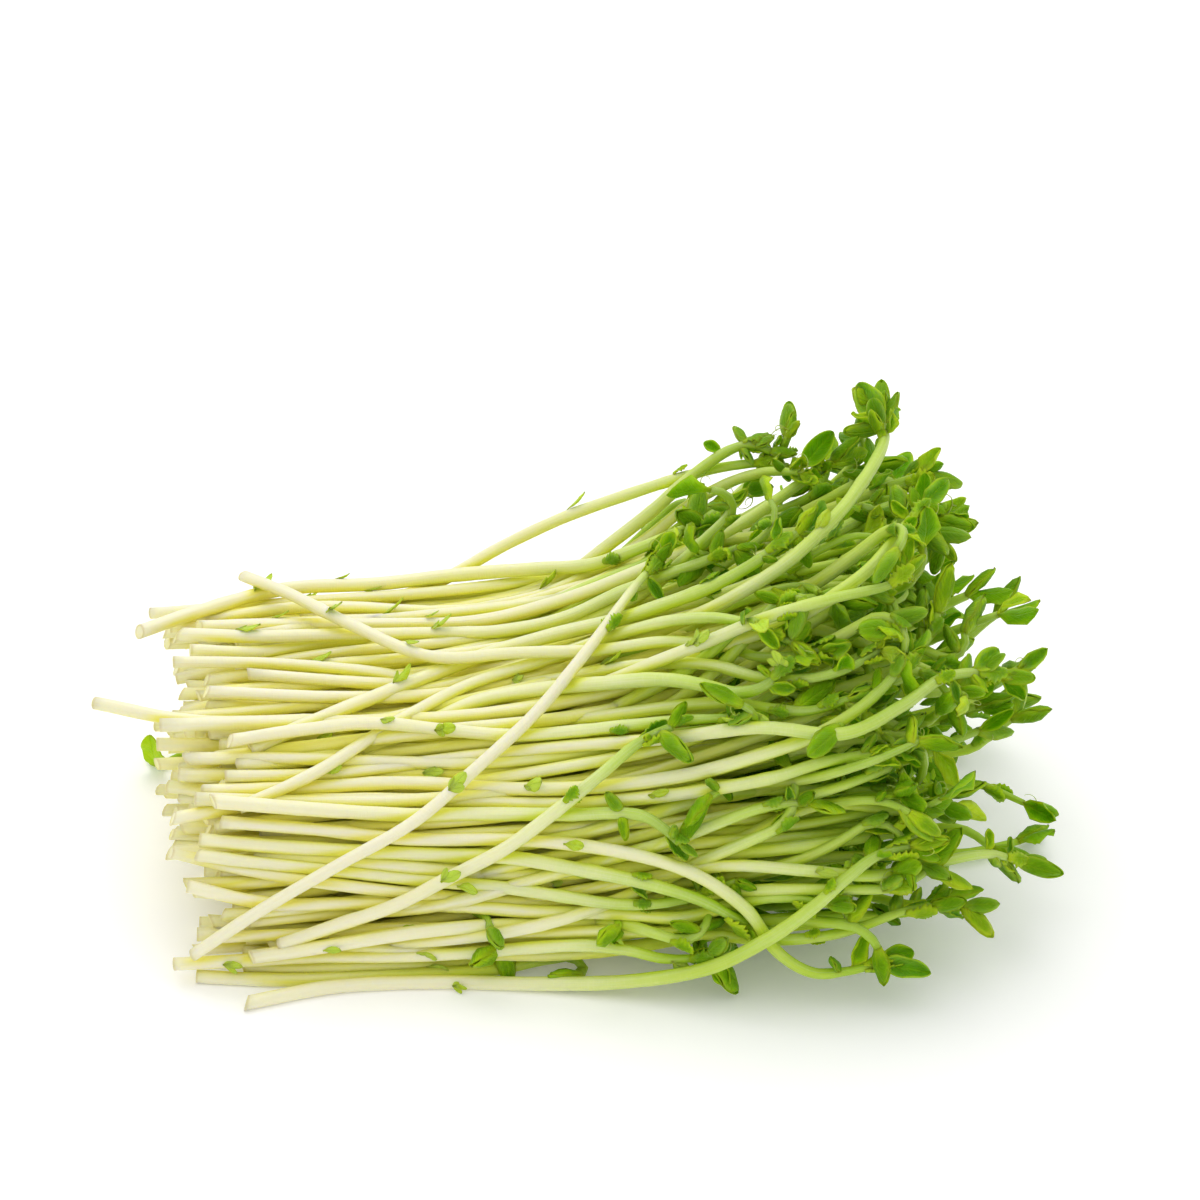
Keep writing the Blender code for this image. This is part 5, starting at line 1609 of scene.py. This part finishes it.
def add_stipules(cluster, blank, line, from_tip, rng, thick, size=1.0):
    """A pair of toothed leaves that clasp the stem at a joint."""
    share = min(max(1.0 - from_tip / line_length(line), 0.02), 0.98)
    root, way = place_and_way(line, share, 0.015)
    around = any_side(rng, way)
    for index in range(2):
        outward = turned_round(around, way, math.pi * index + rng.uniform(-0.5, 0.5))
        length = size * rng.uniform(*STIPULES_LENGTH)
        base = root + (thick(share) + STIPULES_LIFT) * outward
        forward = way + rng.uniform(0.25, 0.6) * outward
        curl = rng.uniform(*STIPULES_CURL)
        leaf = Leaf(base, forward, -outward, length, STIPULES_WIDTH * length, curl, 0.3)
        wrap = rng.uniform(*STIPULES_WRAP)
        add_blade(cluster, blank, Blade(leaf, wrap, teeth=0.6, shade=rng.uniform(0.4, 0.8), root=0.08), rng)


def add_scale(cluster, blank, leaf, rng, line, thick):
    """A small leaf of up to three points that hugs the stem, just clear of its skin."""
    shade = rng.uniform(*SCALE_SHADE)
    shares = np.linspace(0.0, 1.0, SCALE_STEPS)
    axis = at_shares(line, shares)
    nearest = int(np.argmin(np.linalg.norm(axis - leaf.root, axis=1)))
    base = axis[nearest] + (thick(shares[nearest]) + SCALE_LIFT) * leaf.facing
    first = (-rng.uniform(0.3, 0.7), rng.uniform(0.0, 0.8))
    for turn, size in (first, (0.0, 1.0), (0.5, rng.uniform(0.0, 0.8))):
        if size < SCALE_LEAST_LOBE:
            continue
        way = math.cos(turn) * leaf.forward + math.sin(turn) * leaf.side
        length = SCALE_TALLER * size * leaf.length
        width = rng.uniform(*SCALE_WIDTH) * length
        lobe = Leaf(base, way, -leaf.facing, length, width, rng.uniform(0.0, 0.35), 0.2)
        add_blade(cluster, blank, Blade(lobe, 0.6, thickness=0.14, shade=shade, root=0.04), rng)


def add_random_scale(cluster, blank, line, rng, thick):
    root, way = place_and_way(line, rng.uniform(*RANDOM_SCALE_SHARES), 0.02)
    outward = unit(root * np.array([0.0, 1.0, 1.0]) + 6.0 * random_direction(rng))
    length = rng.uniform(0.5, 1.0) * bpy.context.scene.pea_shoot_sizes.scale_length / MM
    leaf = Leaf(root, way + 0.2 * outward, outward, length, 0.7 * length, 0.3, 0.2)
    add_scale(cluster, blank, leaf, rng, line, thick)


def add_fine_shoot(cluster, blanks, shoot, rng, number):
    """A shoot as it shows from close by."""
    tint = rng.uniform(-1.0, 1.0)
    line = shoot.stations
    reach = PALE_REACH.get(number, GREEN_REACH)
    thick = add_stem(cluster, blanks.fine_stem, line, FINE_RINGS, rng, tint, reach)
    if number in OPEN_LEAVES:
        for leaf in shoot.leaves[:2]:
            add_blade(cluster, blanks.fine_blade, Blade(leaf, 0.5, wave=0.12, shade=0.95, blunt=1.0), rng)
        return
    for leaf in shoot.leaves:
        if leaf.length > SMALL_LEAF_LENGTH:
            dress_leaf(cluster, blanks.fine_blade, leaf, rng)
        else:
            add_scale(cluster, blanks.plain_blade, leaf, rng, line, thick)
    add_stipules(cluster, blanks.toothed_blade, line, rng.uniform(2.0, 7.0), rng, thick)
    if rng.random() < 0.5:
        add_stipules(cluster, blanks.toothed_blade, line, rng.uniform(14.0, 26.0), rng, thick, 0.7)
    if rng.random() < 0.5:
        add_random_scale(cluster, blanks.plain_blade, line, rng, thick)
    grown = quick_head(rng, line, CROWDED_HEADS.get(number, COMMON_HEAD), rng.uniform(*HEAD_SIZE))
    if number == CLUSTER:
        grown += crumpled_head(rng, line)
    for leaf in grown:
        dress_leaf(cluster, blanks.fine_blade, leaf, rng)
    if rng.random() < TENDRIL_SHARE:
        way = unit(line[-1] - line[-2] + 0.5 * random_direction(rng))
        width = bpy.context.scene.pea_shoot_sizes.tendril_width / MM
        thread = add_tendril(cluster, blanks.tendril, line[-1], way, rng, rng.uniform(6.0, 11.0), width)
        aside = unit(way + 0.8 * random_direction(rng))
        add_tendril(cluster, blanks.tendril, thread[TENDRIL_FORK], aside, rng, 3.5, 0.76 * width)


def add_plain_shoot(cluster, blanks, shoot, rng):
    """A shoot inside the bunch, with few faces."""
    tint = rng.uniform(-1.0, 1.0)
    line = shoot.stations
    thick = add_stem(cluster, blanks.plain_stem, line, PLAIN_RINGS, rng, tint)
    for leaf in shoot.leaves:
        dress_leaf(cluster, blanks.plain_blade, leaf, rng)
    if rng.random() < 0.7:
        add_stipules(cluster, blanks.ragged_blade, line, rng.uniform(5.0, 14.0), rng, thick, 0.85)
    if rng.random() < 0.28:
        add_random_scale(cluster, blanks.plain_blade, line, rng, thick)
    if rng.random() < 0.3:
        way = unit(line[-1] - line[-2])
        width = 0.88 * bpy.context.scene.pea_shoot_sizes.tendril_width / MM
        add_tendril(cluster, blanks.tendril, line[-1], way, rng, rng.uniform(3.0, 8.0), width)


# Finishes
STEM_FINISH = "pea_stem"
LEAF_FINISH = "pea_leaf"
STEM_BUMP = 0.00018
LEAF_BUMP = 0.0003
BUMP_STRENGTH = 0.9


class Value:
    """A shader socket that takes part in Python sums."""

    def __init__(self, nodes, socket):
        self.nodes = nodes
        self.socket = socket

    def maths(self, operation, *values):
        made = self.nodes.node("ShaderNodeMath", {"operation": operation}, dict(enumerate(values)))
        return Value(self.nodes, made.outputs[0])

    def __add__(self, other):
        return self.maths("ADD", self, other)

    __radd__ = __add__

    def __sub__(self, other):
        return self.maths("SUBTRACT", self, other)

    def __rsub__(self, other):
        return self.maths("SUBTRACT", other, self)

    def __mul__(self, other):
        return self.maths("MULTIPLY", self, other)

    __rmul__ = __mul__

    def __abs__(self):
        return self.maths("ABSOLUTE", self)

    def sine(self):
        return self.maths("SINE", self)

    def above(self, low, high):
        """0 below low and 1 above high, smoothly."""
        sockets = {0: self, 1: low, 2: high, 3: 0.0, 4: 1.0}
        made = self.nodes.node("ShaderNodeMapRange", {"interpolation_type": "SMOOTHSTEP"}, sockets)
        return Value(self.nodes, made.outputs[0])


def opaque(colour):
    """A colour with its alpha, or a link as it is."""
    return colour if isinstance(colour, bpy.types.NodeSocket) else (*colour, 1.0)


class Nodes:
    """Puts nodes together in a tree."""

    def __init__(self, tree):
        self.tree = tree

    def node(self, kind, settings, sockets):
        """Makes a node: its settings first, then the values or links of its sockets."""
        made = self.tree.nodes.new(kind)
        for title, value in settings.items():
            if title == "stops":
                self.set_stops(made.color_ramp, value)
            else:
                setattr(made, title, value)
        for title, value in sockets.items():
            self.feed(made.inputs[title], value)
        return made

    def feed(self, socket, value):
        if isinstance(value, Value):
            value = value.socket
        if isinstance(value, bpy.types.NodeSocket):
            self.tree.links.new(value, socket)
        else:
            socket.default_value = value

    def set_stops(self, ramp, stops):
        while len(ramp.elements) < len(stops):
            ramp.elements.new(0.5)
        for element, (place, colour) in zip(ramp.elements, stops):
            element.position = place
            element.color = opaque(colour)

    def parts(self, attribute):
        """The three numbers of an attribute."""
        read = self.node("ShaderNodeAttribute", {"attribute_name": attribute}, {})
        split = self.node("ShaderNodeSeparateXYZ", {}, {"Vector": read.outputs["Vector"]})
        return [Value(self, split.outputs[index]) for index in range(3)]

    def together(self, x, y, z):
        return self.node("ShaderNodeCombineXYZ", {}, {"X": x, "Y": y, "Z": z}).outputs["Vector"]

    def noise(self, place, scale, detail=2.0):
        made = self.node("ShaderNodeTexNoise", {}, {"Vector": place, "Scale": scale, "Detail": detail})
        return Value(self, made.outputs["Fac"])

    def mixed(self, factor, first, second):
        sockets = {0: factor, 6: opaque(first), 7: opaque(second)}
        return self.node("ShaderNodeMix", {"data_type": "RGBA"}, sockets).outputs[2]

    def ramp(self, factor, stops):
        return self.node("ShaderNodeValToRGB", {"stops": stops}, {"Fac": factor}).outputs["Color"]

    def bump(self, height, distance):
        sockets = {"Height": height, "Distance": distance, "Strength": BUMP_STRENGTH}
        return self.node("ShaderNodeBump", {}, sockets).outputs["Normal"]


class Finish(Nodes):
    """A Principled material that is put together from nodes."""

    def __init__(self, name, constants):
        self.material = bpy.data.materials.new(name)
        self.material.use_nodes = True
        super().__init__(self.material.node_tree)
        self.shader = self.tree.nodes["Principled BSDF"]
        self.set(constants)

    def set(self, sockets):
        """Feeds the shader's own sockets."""
        for title, value in sockets.items():
            self.feed(self.shader.inputs[title], value)


def stem_finish(colours):
    """Cream at the cut end and green at the head, with fine ribs, rings and streaks, and wax on the skin.
    Shade deep in the pile, under its leafy end and between stems is painted into the colour.
    """
    finish = Finish(STEM_FINISH, {
        "Subsurface Weight": 0.5,
        "Subsurface Radius": (1.0, 0.9, 0.15),
        "Subsurface Scale": 0.0016,
        "Specular IOR Level": 0.36,
    })
    side, front, along = finish.parts("skin")
    # The third number of the attribute is painted shade: 0 in full light, 1 where shade falls deep in the
    # pile, under the leafy end or against another stem
    green, tint, depth = finish.parts("tone")
    shift = tint * 31.0

    def pattern(across, lengthwise, scale, detail=2.0):
        """Noise that is stretched across or along the stem, and is another on each stem."""
        place = finish.together(side * across + shift, front * across, along * lengthwise)
        return finish.noise(place, scale, detail)

    streaks = pattern(2.6, 0.03, 1.6)
    blotches = pattern(0.8, 0.16, 1.0)
    rings = pattern(0.5, 2.2, 1.4, 3.0)
    ribs = pattern(6.0, 0.02, 1.6)
    shade = green + tint * 0.06 + (blotches - 0.5) * 0.14 + (streaks - 0.5) * 0.08 + (ribs - 0.5) * 0.22
    colour = finish.ramp(shade, (
        (0.0, colours.cut_end), (0.14, colours.lower_stem), (0.36, colours.middle_stem),
        (0.62, colours.upper_stem), (0.9, colours.neck)))
    # hidden holds the painted shade colours: stem colours where little light reaches, mixed in by the painted
    # shade amount
    hidden = finish.ramp(shade, (
        (0.05, colours.painted_shade_lower), (0.4, colours.painted_shade_middle), (0.75, colours.painted_shade_upper)))
    shaded = finish.mixed(depth * 0.85, colour, hidden)
    # Streaks, rings and ribs fade where painted shade lies
    pale = finish.mixed((streaks - 0.42) * 1.1 * (1.0 - green * 0.7) * (1.0 - depth), shaded, colours.wax)
    ringed = finish.mixed((rings - 0.5) * 0.7 * (1.0 - depth) * (1.0 - green * 0.75), pale, colours.wax)
    ribbed = finish.mixed((ribs - 0.5) * 0.9 * (1.0 - depth * 0.7), ringed, colours.wax)
    cut = 1.0 - along.above(0.1, 0.7)
    rim = (side * side + front * front).above(0.4, 0.95) * cut
    finish.set({
        "Base Color": finish.mixed(rim * (0.1 + blotches * 0.5), ribbed, colours.cut_rim),
        "Roughness": 0.42 + (rings - 0.5) * 0.2 + cut * 0.3,
        "Normal": finish.bump(streaks * 0.4 + rings * 0.4 + ribs * 0.5, STEM_BUMP),
    })


def leaf_finish(colours):
    """Leaf green in several shades, with a midrib, fine side veins and a paler rim, and painted shade on
    leaves deep in the pile.
    """
    finish = Finish(LEAF_FINISH, {
        "Subsurface Weight": 0.45,
        "Subsurface Radius": (0.7, 1.0, 0.03),
        "Subsurface Scale": 0.0011,
        "Specular IOR Level": 0.2,
        "Specular Tint": (0.72, 1.0, 0.1, 1.0),
    })
    across, along, upper = finish.parts("skin")
    shade, tint, depth = finish.parts("tone")
    aside = abs(across)
    shift = tint * 23.0
    mottle = finish.noise(finish.together(across * 1.2 + shift, along * 2.4, upper * 3.0), 2.0, 3.0)
    grain = finish.noise(finish.together(across * 5.0 + shift, along * 11.0, upper * 3.0), 3.0)
    # Leaves deep in the pile are painted darker, as painted shade
    colour = finish.ramp(shade + (mottle - 0.5) * 0.5 - depth * 0.25, (
        (0.0, colours.dark_leaf), (0.3, colours.leaf), (0.5, colours.bloom_and_sheen_leaf), (0.66, colours.bright_leaf),
        (0.82, colours.lime_leaf), (1.0, colours.young_leaf)))
    not_young = 1.0 - shade.above(0.7, 0.95)
    # The darker middle is partly the leaf's own colour and partly painted shade in the thick, folded middle
    # of the blade
    heart = (1.0 - aside.above(0.25, 0.8)) * along.above(0.2, 0.45) * (1.0 - along.above(0.8, 1.0))
    deepened = finish.mixed(heart * 0.72 * not_young, colour, colours.dark_leaf)
    midrib = 1.0 - aside.above(0.03, 0.13)
    veins = (aside * 16.0 - along * 44.0).sine().above(0.55, 1.0) * (1.0 - aside.above(0.7, 1.0))
    # The paler rim is partly the leaf's own paler edge and base, and partly painted light that shines through
    # the thin edges
    rim = aside.above(0.66, 1.0)
    base = 1.0 - along.above(0.02, 0.34)
    edged = finish.mixed((rim * 0.42 + base * 0.55) * (1.0 - depth * 0.6), deepened, colours.leaf_rim)
    under = finish.mixed((1.0 - upper) * 0.25 * not_young, edged, colours.leaf_back)
    height = grain * 0.35 + mottle * 0.8 - midrib * 0.5 - veins * 0.3
    finish.set({
        "Base Color": finish.mixed((midrib * 0.3 + veins * 0.2) * 0.6, under, colours.leaf_vein),
        "Roughness": 0.45 + (grain - 0.5) * 0.25,
        "Normal": finish.bump(height, LEAF_BUMP),
    })


def floor_finish(stage):
    finish = Finish("pale_floor", {
        "Roughness": 0.75,
        "Specular IOR Level": 0.2,
        "Emission Color": (1.0, 1.0, 0.99, 1.0),
        "Emission Strength": stage.floor_glow,
    })
    grain = finish.noise(finish.node("ShaderNodeTexCoord", {}, {}).outputs["Object"], 40.0)
    paler = [min(1.0, 1.01 * part) for part in stage.floor_colour]
    finish.set({"Base Color": finish.mixed(grain, stage.floor_colour, paler)})
    return finish.material


def colour_property(name, description, default):
    return FloatVectorProperty(name=name, description=description, subtype="COLOR", size=3, min=0.0, max=1.0,
                               default=default)


def length_property(name, description, default, least, most):
    return FloatProperty(name=name, description=description, default=default, min=least, max=most,
                         unit="LENGTH")


def light_property(name, description, default, unit="NONE"):
    return FloatProperty(name=name, description=description, default=default, min=0.0, unit=unit)


def pieces_property(default):
    description = "How many pieces they are split into"
    return IntProperty(name="Pieces", description=description, default=default, min=1)


class ShootColours(bpy.types.PropertyGroup):
    """Colours of the stems and leaves, with the painted shade of stems deep in the pile."""

    cut_end: colour_property("Cut end", "Stem at its cut end", (0.95, 0.885, 0.66))
    lower_stem: colour_property("Lower stem", "Stem a little above its cut end", (0.935, 0.885, 0.60))
    middle_stem: colour_property("Middle stem", "Stem half way up", (0.825, 0.86, 0.44))
    upper_stem: colour_property("Upper stem", "Stem a little below the head", (0.56, 0.73, 0.11))
    neck: colour_property("Neck", "Stem just below the leaves", (0.29, 0.47, 0.010))
    # The next three are painted shade: stem colours where little light reaches, deep in the pile and between
    # stems
    painted_shade_lower: colour_property("Deep lower stem", "Lower stem inside the pile", (0.93, 0.855, 0.07))
    painted_shade_middle: colour_property("Deep middle stem", "Middle stem inside the pile", (0.76, 0.84, 0.015))
    painted_shade_upper: colour_property("Deep upper stem", "Upper stem inside the pile", (0.39, 0.62, 0.001))
    wax: colour_property("Wax streaks", "Pale streaks along the stem", (0.95, 0.94, 0.78))
    cut_rim: colour_property("Cut rim", "Dried rim of the cut", (0.60, 0.45, 0.13))
    dark_leaf: colour_property("Dark leaf", "Darkest leaves", (0.075, 0.245, 0.0002))
    leaf: colour_property("Leaf", "Common leaves", (0.25, 0.505, 0.001))
    # Its pale bluish cast is partly the leaves' own waxy bloom and partly painted sheen, white light
    # reflected from the wax
    bloom_and_sheen_leaf: colour_property("Blue leaf", "Leaves with a waxy, bluish cast", (0.265, 0.485, 0.06))
    bright_leaf: colour_property("Bright leaf", "Leaves that the light shines through", (0.43, 0.685, 0.008))
    lime_leaf: colour_property("Lime leaf", "Leaves that have just opened", (0.54, 0.74, 0.03))
    young_leaf: colour_property("Young leaf", "The small scales along the stems", (0.58, 0.86, 0.10))
    # Partly the leaf's paler edge and base, and partly painted light shining through the thin edges
    leaf_rim: colour_property("Leaf rim", "Edges and base of a leaf", (0.56, 0.71, 0.03))
    leaf_back: colour_property("Leaf back", "Underside of a leaf", (0.28, 0.46, 0.015))
    leaf_vein: colour_property("Leaf vein", "Midrib and side veins", (0.35, 0.56, 0.015))


class ShootSizes(bpy.types.PropertyGroup):
    """Sizes of the stems and leaves."""

    stem_width: length_property("Stem width", "Width of the thinnest stems below their necks",
                                2.04 * STEM_RADIUS * MM, 0.5 * MM, 3.0 * MM)
    neck_width: length_property("Neck width", "Width of a stem just below its leaves",
                                1.24 * TIP_RADIUS * MM, 0.3 * MM, 2.5 * MM)
    tendril_width: length_property("Tendril width", "Width of a tendril where it starts",
                                   0.34 * MM, 0.1 * MM, 1.0 * MM)
    scale_length: length_property("Scale length", "Length of the longest scales along a stem",
                                  4.4 * MM, 2.0 * MM, 8.0 * MM)


class StageSettings(bpy.types.PropertyGroup):
    """Floor, lights and camera."""

    floor_colour: colour_property("Floor", "Colour of the floor", (0.975, 0.975, 0.97))
    floor_width: length_property("Floor width", "Width of the floor", 6.0, 0.5, 100.0)
    floor_glow: light_property("Floor glow", "Light that the floor gives off itself", 0.11)
    low_sky_light: light_property("Low sky light", "Strength of the light from straight below", 0.40)
    high_sky_light: light_property("High sky light", "Strength of the light from straight above", 1.16)
    key_power: light_property("Key light", "Power of the large light above and behind", 5.7, "POWER")
    fill_power: light_property("Fill light", "Power of the light in front", 0.55, "POWER")
    sensor: FloatProperty(name="Sensor", description="Width of the camera's sensor", default=36.0, min=1.0,
                          unit="CAMERA")


def own_name(step):
    """The second half of an operator's id, which is also the name of its piece."""
    return step.bl_idname.split(".")[1]


class OuterShoots:
    """What the operators for outer shoots share, and the numbers of the shoots in the piece."""

    bl_options = {"REGISTER", "UNDO"}
    numbers = range(0)

    def execute(self, context):
        outer = bunch()[0]
        blanks = Blanks()
        cluster = Cluster()
        for number in self.numbers:
            add_fine_shoot(cluster, blanks, outer[number - 1], random.Random(SEED * 1000 + number), number)
        cluster.make(own_name(type(self)), ["shoot_%02d" % number for number in self.numbers])
        blanks.remove()
        return {"FINISHED"}


class PEASHOOTS_OT_crossing_shoots(OuterShoots, bpy.types.Operator):
    """Build the two stems that lie across the pile and the two broad ones beside them"""

    bl_idname = "pea_shoots.crossing_shoots"
    bl_label = "Crossing Shoots"
    numbers = range(1, 5)


class PEASHOOTS_OT_ridge_shoots(OuterShoots, bpy.types.Operator):
    """Build the shoots along the top of the pile"""

    bl_idname = "pea_shoots.ridge_shoots"
    bl_label = "Ridge Shoots"
    numbers = range(5, 10)


class PEASHOOTS_OT_top_shoots(OuterShoots, bpy.types.Operator):
    """Build the shoots whose heads stand up at the top right"""

    bl_idname = "pea_shoots.top_shoots"
    bl_label = "Top Shoots"
    numbers = range(10, 17)


class PEASHOOTS_OT_middle_shoots(OuterShoots, bpy.types.Operator):
    """Build the shoots across the middle of the front"""

    bl_idname = "pea_shoots.middle_shoots"
    bl_label = "Middle Shoots"
    numbers = range(17, 23)


class PEASHOOTS_OT_front_shoots(OuterShoots, bpy.types.Operator):
    """Build the shoots that bend down at the front"""

    bl_idname = "pea_shoots.front_shoots"
    bl_label = "Front Shoots"
    numbers = range(23, 27)


class PEASHOOTS_OT_floor_shoots(OuterShoots, bpy.types.Operator):
    """Build the shoots that lie along the surface at the front"""

    bl_idname = "pea_shoots.floor_shoots"
    bl_label = "Floor Shoots"
    numbers = range(27, 31)


class PEASHOOTS_OT_left_shoots(OuterShoots, bpy.types.Operator):
    """Build the shoots whose cut ends stand out at the left"""

    bl_idname = "pea_shoots.left_shoots"
    bl_label = "Left Shoots"
    numbers = range(31, 35)


class PEASHOOTS_OT_table_shoot(OuterShoots, bpy.types.Operator):
    """Build the one that sticks out of the pile at the left, with its leaves on the table"""

    bl_idname = "pea_shoots.table_shoot"
    bl_label = "Table Shoot"
    numbers = range(35, 36)


class PEASHOOTS_OT_back_shoots(OuterShoots, bpy.types.Operator):
    """Build the shoots round the back"""

    bl_idname = "pea_shoots.back_shoots"
    bl_label = "Back Shoots"
    numbers = range(36, 46)


def build_plain_pieces(name, shoots, pieces):
    """Pieces of inner shoots, from the front of the pile to its back."""
    ordered = sorted(shoots, key=lambda shoot: shoot.stations[len(shoot.stations) // 2][1])
    blanks = Blanks()
    for part in range(pieces):
        cluster = Cluster()
        for index in range(part * len(ordered) // pieces, (part + 1) * len(ordered) // pieces):
            add_plain_shoot(cluster, blanks, ordered[index], random.Random(SEED * 2000 + index))
        cluster.make("%s_%d" % (name, part + 1), ["inner_bunch"])
    blanks.remove()


class PEASHOOTS_OT_shell_shoots(bpy.types.Operator):
    """Build the shoots that show between and just below the outer ones"""

    bl_idname = "pea_shoots.shell_shoots"
    bl_label = "Shell Shoots"
    bl_options = {"REGISTER", "UNDO"}
    pieces: pieces_property(4)

    def execute(self, context):
        build_plain_pieces("shell_shoots", bunch()[1], self.pieces)
        return {"FINISHED"}


class PEASHOOTS_OT_inner_shoots(bpy.types.Operator):
    """Build the shoots inside the pile, of which the cut ends and the heads show"""

    bl_idname = "pea_shoots.inner_shoots"
    bl_label = "Inner Shoots"
    bl_options = {"REGISTER", "UNDO"}
    pieces: pieces_property(6)

    def execute(self, context):
        build_plain_pieces("inner_shoots", bunch()[2], self.pieces)
        return {"FINISHED"}


class PEASHOOTS_OT_finishes(bpy.types.Operator):
    """Make the finishes of stems and leaves"""

    bl_idname = "pea_shoots.finishes"
    bl_label = "Finishes"
    bl_options = {"REGISTER", "UNDO"}

    def execute(self, context):
        stem_finish(context.scene.pea_shoot_colours)
        leaf_finish(context.scene.pea_shoot_colours)
        return {"FINISHED"}


# The stage, in metres: each light's place, width and colour, and where they look
KEY_LIGHT = ((-0.15, 0.7, 1.2), 1.3, (1.0, 0.985, 0.95))
FILL_LIGHT = ((0.35, -1.3, 0.75), 1.0, (0.97, 0.985, 1.0))
LIGHT_AIM = Vector((0.0, 0.0, 0.03))
NEAREST_VIEW = 0.01


class PEASHOOTS_OT_stage(bpy.types.Operator):
    """Set up the floor, the lights and the camera"""

    bl_idname = "pea_shoots.stage"
    bl_label = "Stage"
    bl_options = {"REGISTER", "UNDO"}

    def execute(self, context):
        stage = context.scene.pea_shoot_stage
        build_floor(stage)
        add_light("key_light", *KEY_LIGHT, stage.key_power)
        add_light("fill_light", *FILL_LIGHT, stage.fill_power)
        build_sky(stage)
        build_camera(stage)
        context.scene.view_settings.view_transform = "Standard"
        return {"FINISHED"}


def build_floor(stage):
    bm = bmesh.new()
    bmesh.ops.create_grid(bm, x_segments=1, y_segments=1, size=0.5 * stage.floor_width)
    mesh = mesh_of(bm, "floor")
    mesh.materials.append(floor_finish(stage))
    floor = added("floor", mesh)


def add_light(name, place, size, colour, power):
    """A large soft lamp that looks at the bunch."""
    lamp = bpy.data.lights.new(name, "AREA")
    lamp.shape = "DISK"
    lamp.size = size
    lamp.energy = power
    lamp.color = colour
    light = added(name, lamp)
    light.location = place
    light.rotation_euler = (LIGHT_AIM - light.location).to_track_quat("-Z", "Y").to_euler()


def build_sky(stage):
    """White light from all sides, strongest from straight above."""
    world = bpy.data.worlds.new("sky")
    world.use_nodes = True
    sky = Nodes(world.node_tree)
    way = sky.node("ShaderNodeTexCoord", {}, {}).outputs["Generated"]
    height = sky.node("ShaderNodeSeparateXYZ", {}, {"Vector": way}).outputs["Z"]
    sockets = {"Value": height, "To Min": stage.low_sky_light, "To Max": stage.high_sky_light}
    background = sky.tree.nodes["Background"]
    sky.feed(background.inputs["Color"], (1.0, 1.0, 1.0, 1.0))
    sky.feed(background.inputs["Strength"], sky.node("ShaderNodeMapRange", {}, sockets).outputs["Result"])
    bpy.context.scene.world = world


def build_camera(stage):
    """The photograph's view: its pixels are as wide as PHOTO_SCALE at the aim."""
    lens = bpy.data.cameras.new("photo_camera")
    lens.sensor_width = stage.sensor
    lens.lens = stage.sensor * EYE_DISTANCE / (2.0 * PHOTO_MIDDLE * PHOTO_SCALE)
    lens.clip_start = NEAREST_VIEW
    camera = added("photo_camera", lens)
    camera.location = (AIM + EYE_DISTANCE * VIEW_BACK + PILE_PLACE) * MM
    camera.rotation_euler = Vector(-VIEW_BACK).to_track_quat("-Z", "Y").to_euler()
    bpy.context.scene.camera = camera


class PEASHOOTS_PT_panel(bpy.types.Panel):
    """Sidebar panel that lists the steps"""

    bl_idname = "PEASHOOTS_PT_panel"
    bl_label = "Pea Shoots"
    bl_space_type = "VIEW_3D"
    bl_region_type = "UI"
    bl_category = "Pea Shoots"

    def draw(self, context):
        for step in STEPS:
            self.layout.operator(step.bl_idname)
        for group in SETTINGS:
            settings = getattr(context.scene, group)
            for title in settings.bl_rna.properties.keys():
                if title not in ("rna_type", "name"):
                    self.layout.prop(settings, title)


SETTINGS = {
    "pea_shoot_colours": ShootColours,
    "pea_shoot_sizes": ShootSizes,
    "pea_shoot_stage": StageSettings,
}
STEPS = (
    PEASHOOTS_OT_finishes, PEASHOOTS_OT_crossing_shoots, PEASHOOTS_OT_ridge_shoots,
    PEASHOOTS_OT_top_shoots, PEASHOOTS_OT_middle_shoots, PEASHOOTS_OT_front_shoots,
    PEASHOOTS_OT_floor_shoots, PEASHOOTS_OT_left_shoots, PEASHOOTS_OT_table_shoot,
    PEASHOOTS_OT_back_shoots, PEASHOOTS_OT_shell_shoots, PEASHOOTS_OT_inner_shoots, PEASHOOTS_OT_stage,
)
CLASSES = (*SETTINGS.values(), *STEPS, PEASHOOTS_PT_panel)


def register():
    for made in CLASSES:
        bpy.utils.register_class(made)
    for group, made in SETTINGS.items():
        setattr(bpy.types.Scene, group, PointerProperty(type=made))


def unregister():
    for group in SETTINGS:
        delattr(bpy.types.Scene, group)
    for made in reversed(CLASSES):
        bpy.utils.unregister_class(made)


def main():
    register()
    for step in STEPS:
        getattr(bpy.ops.pea_shoots, own_name(step))()


if __name__ == "__main__":
    main()
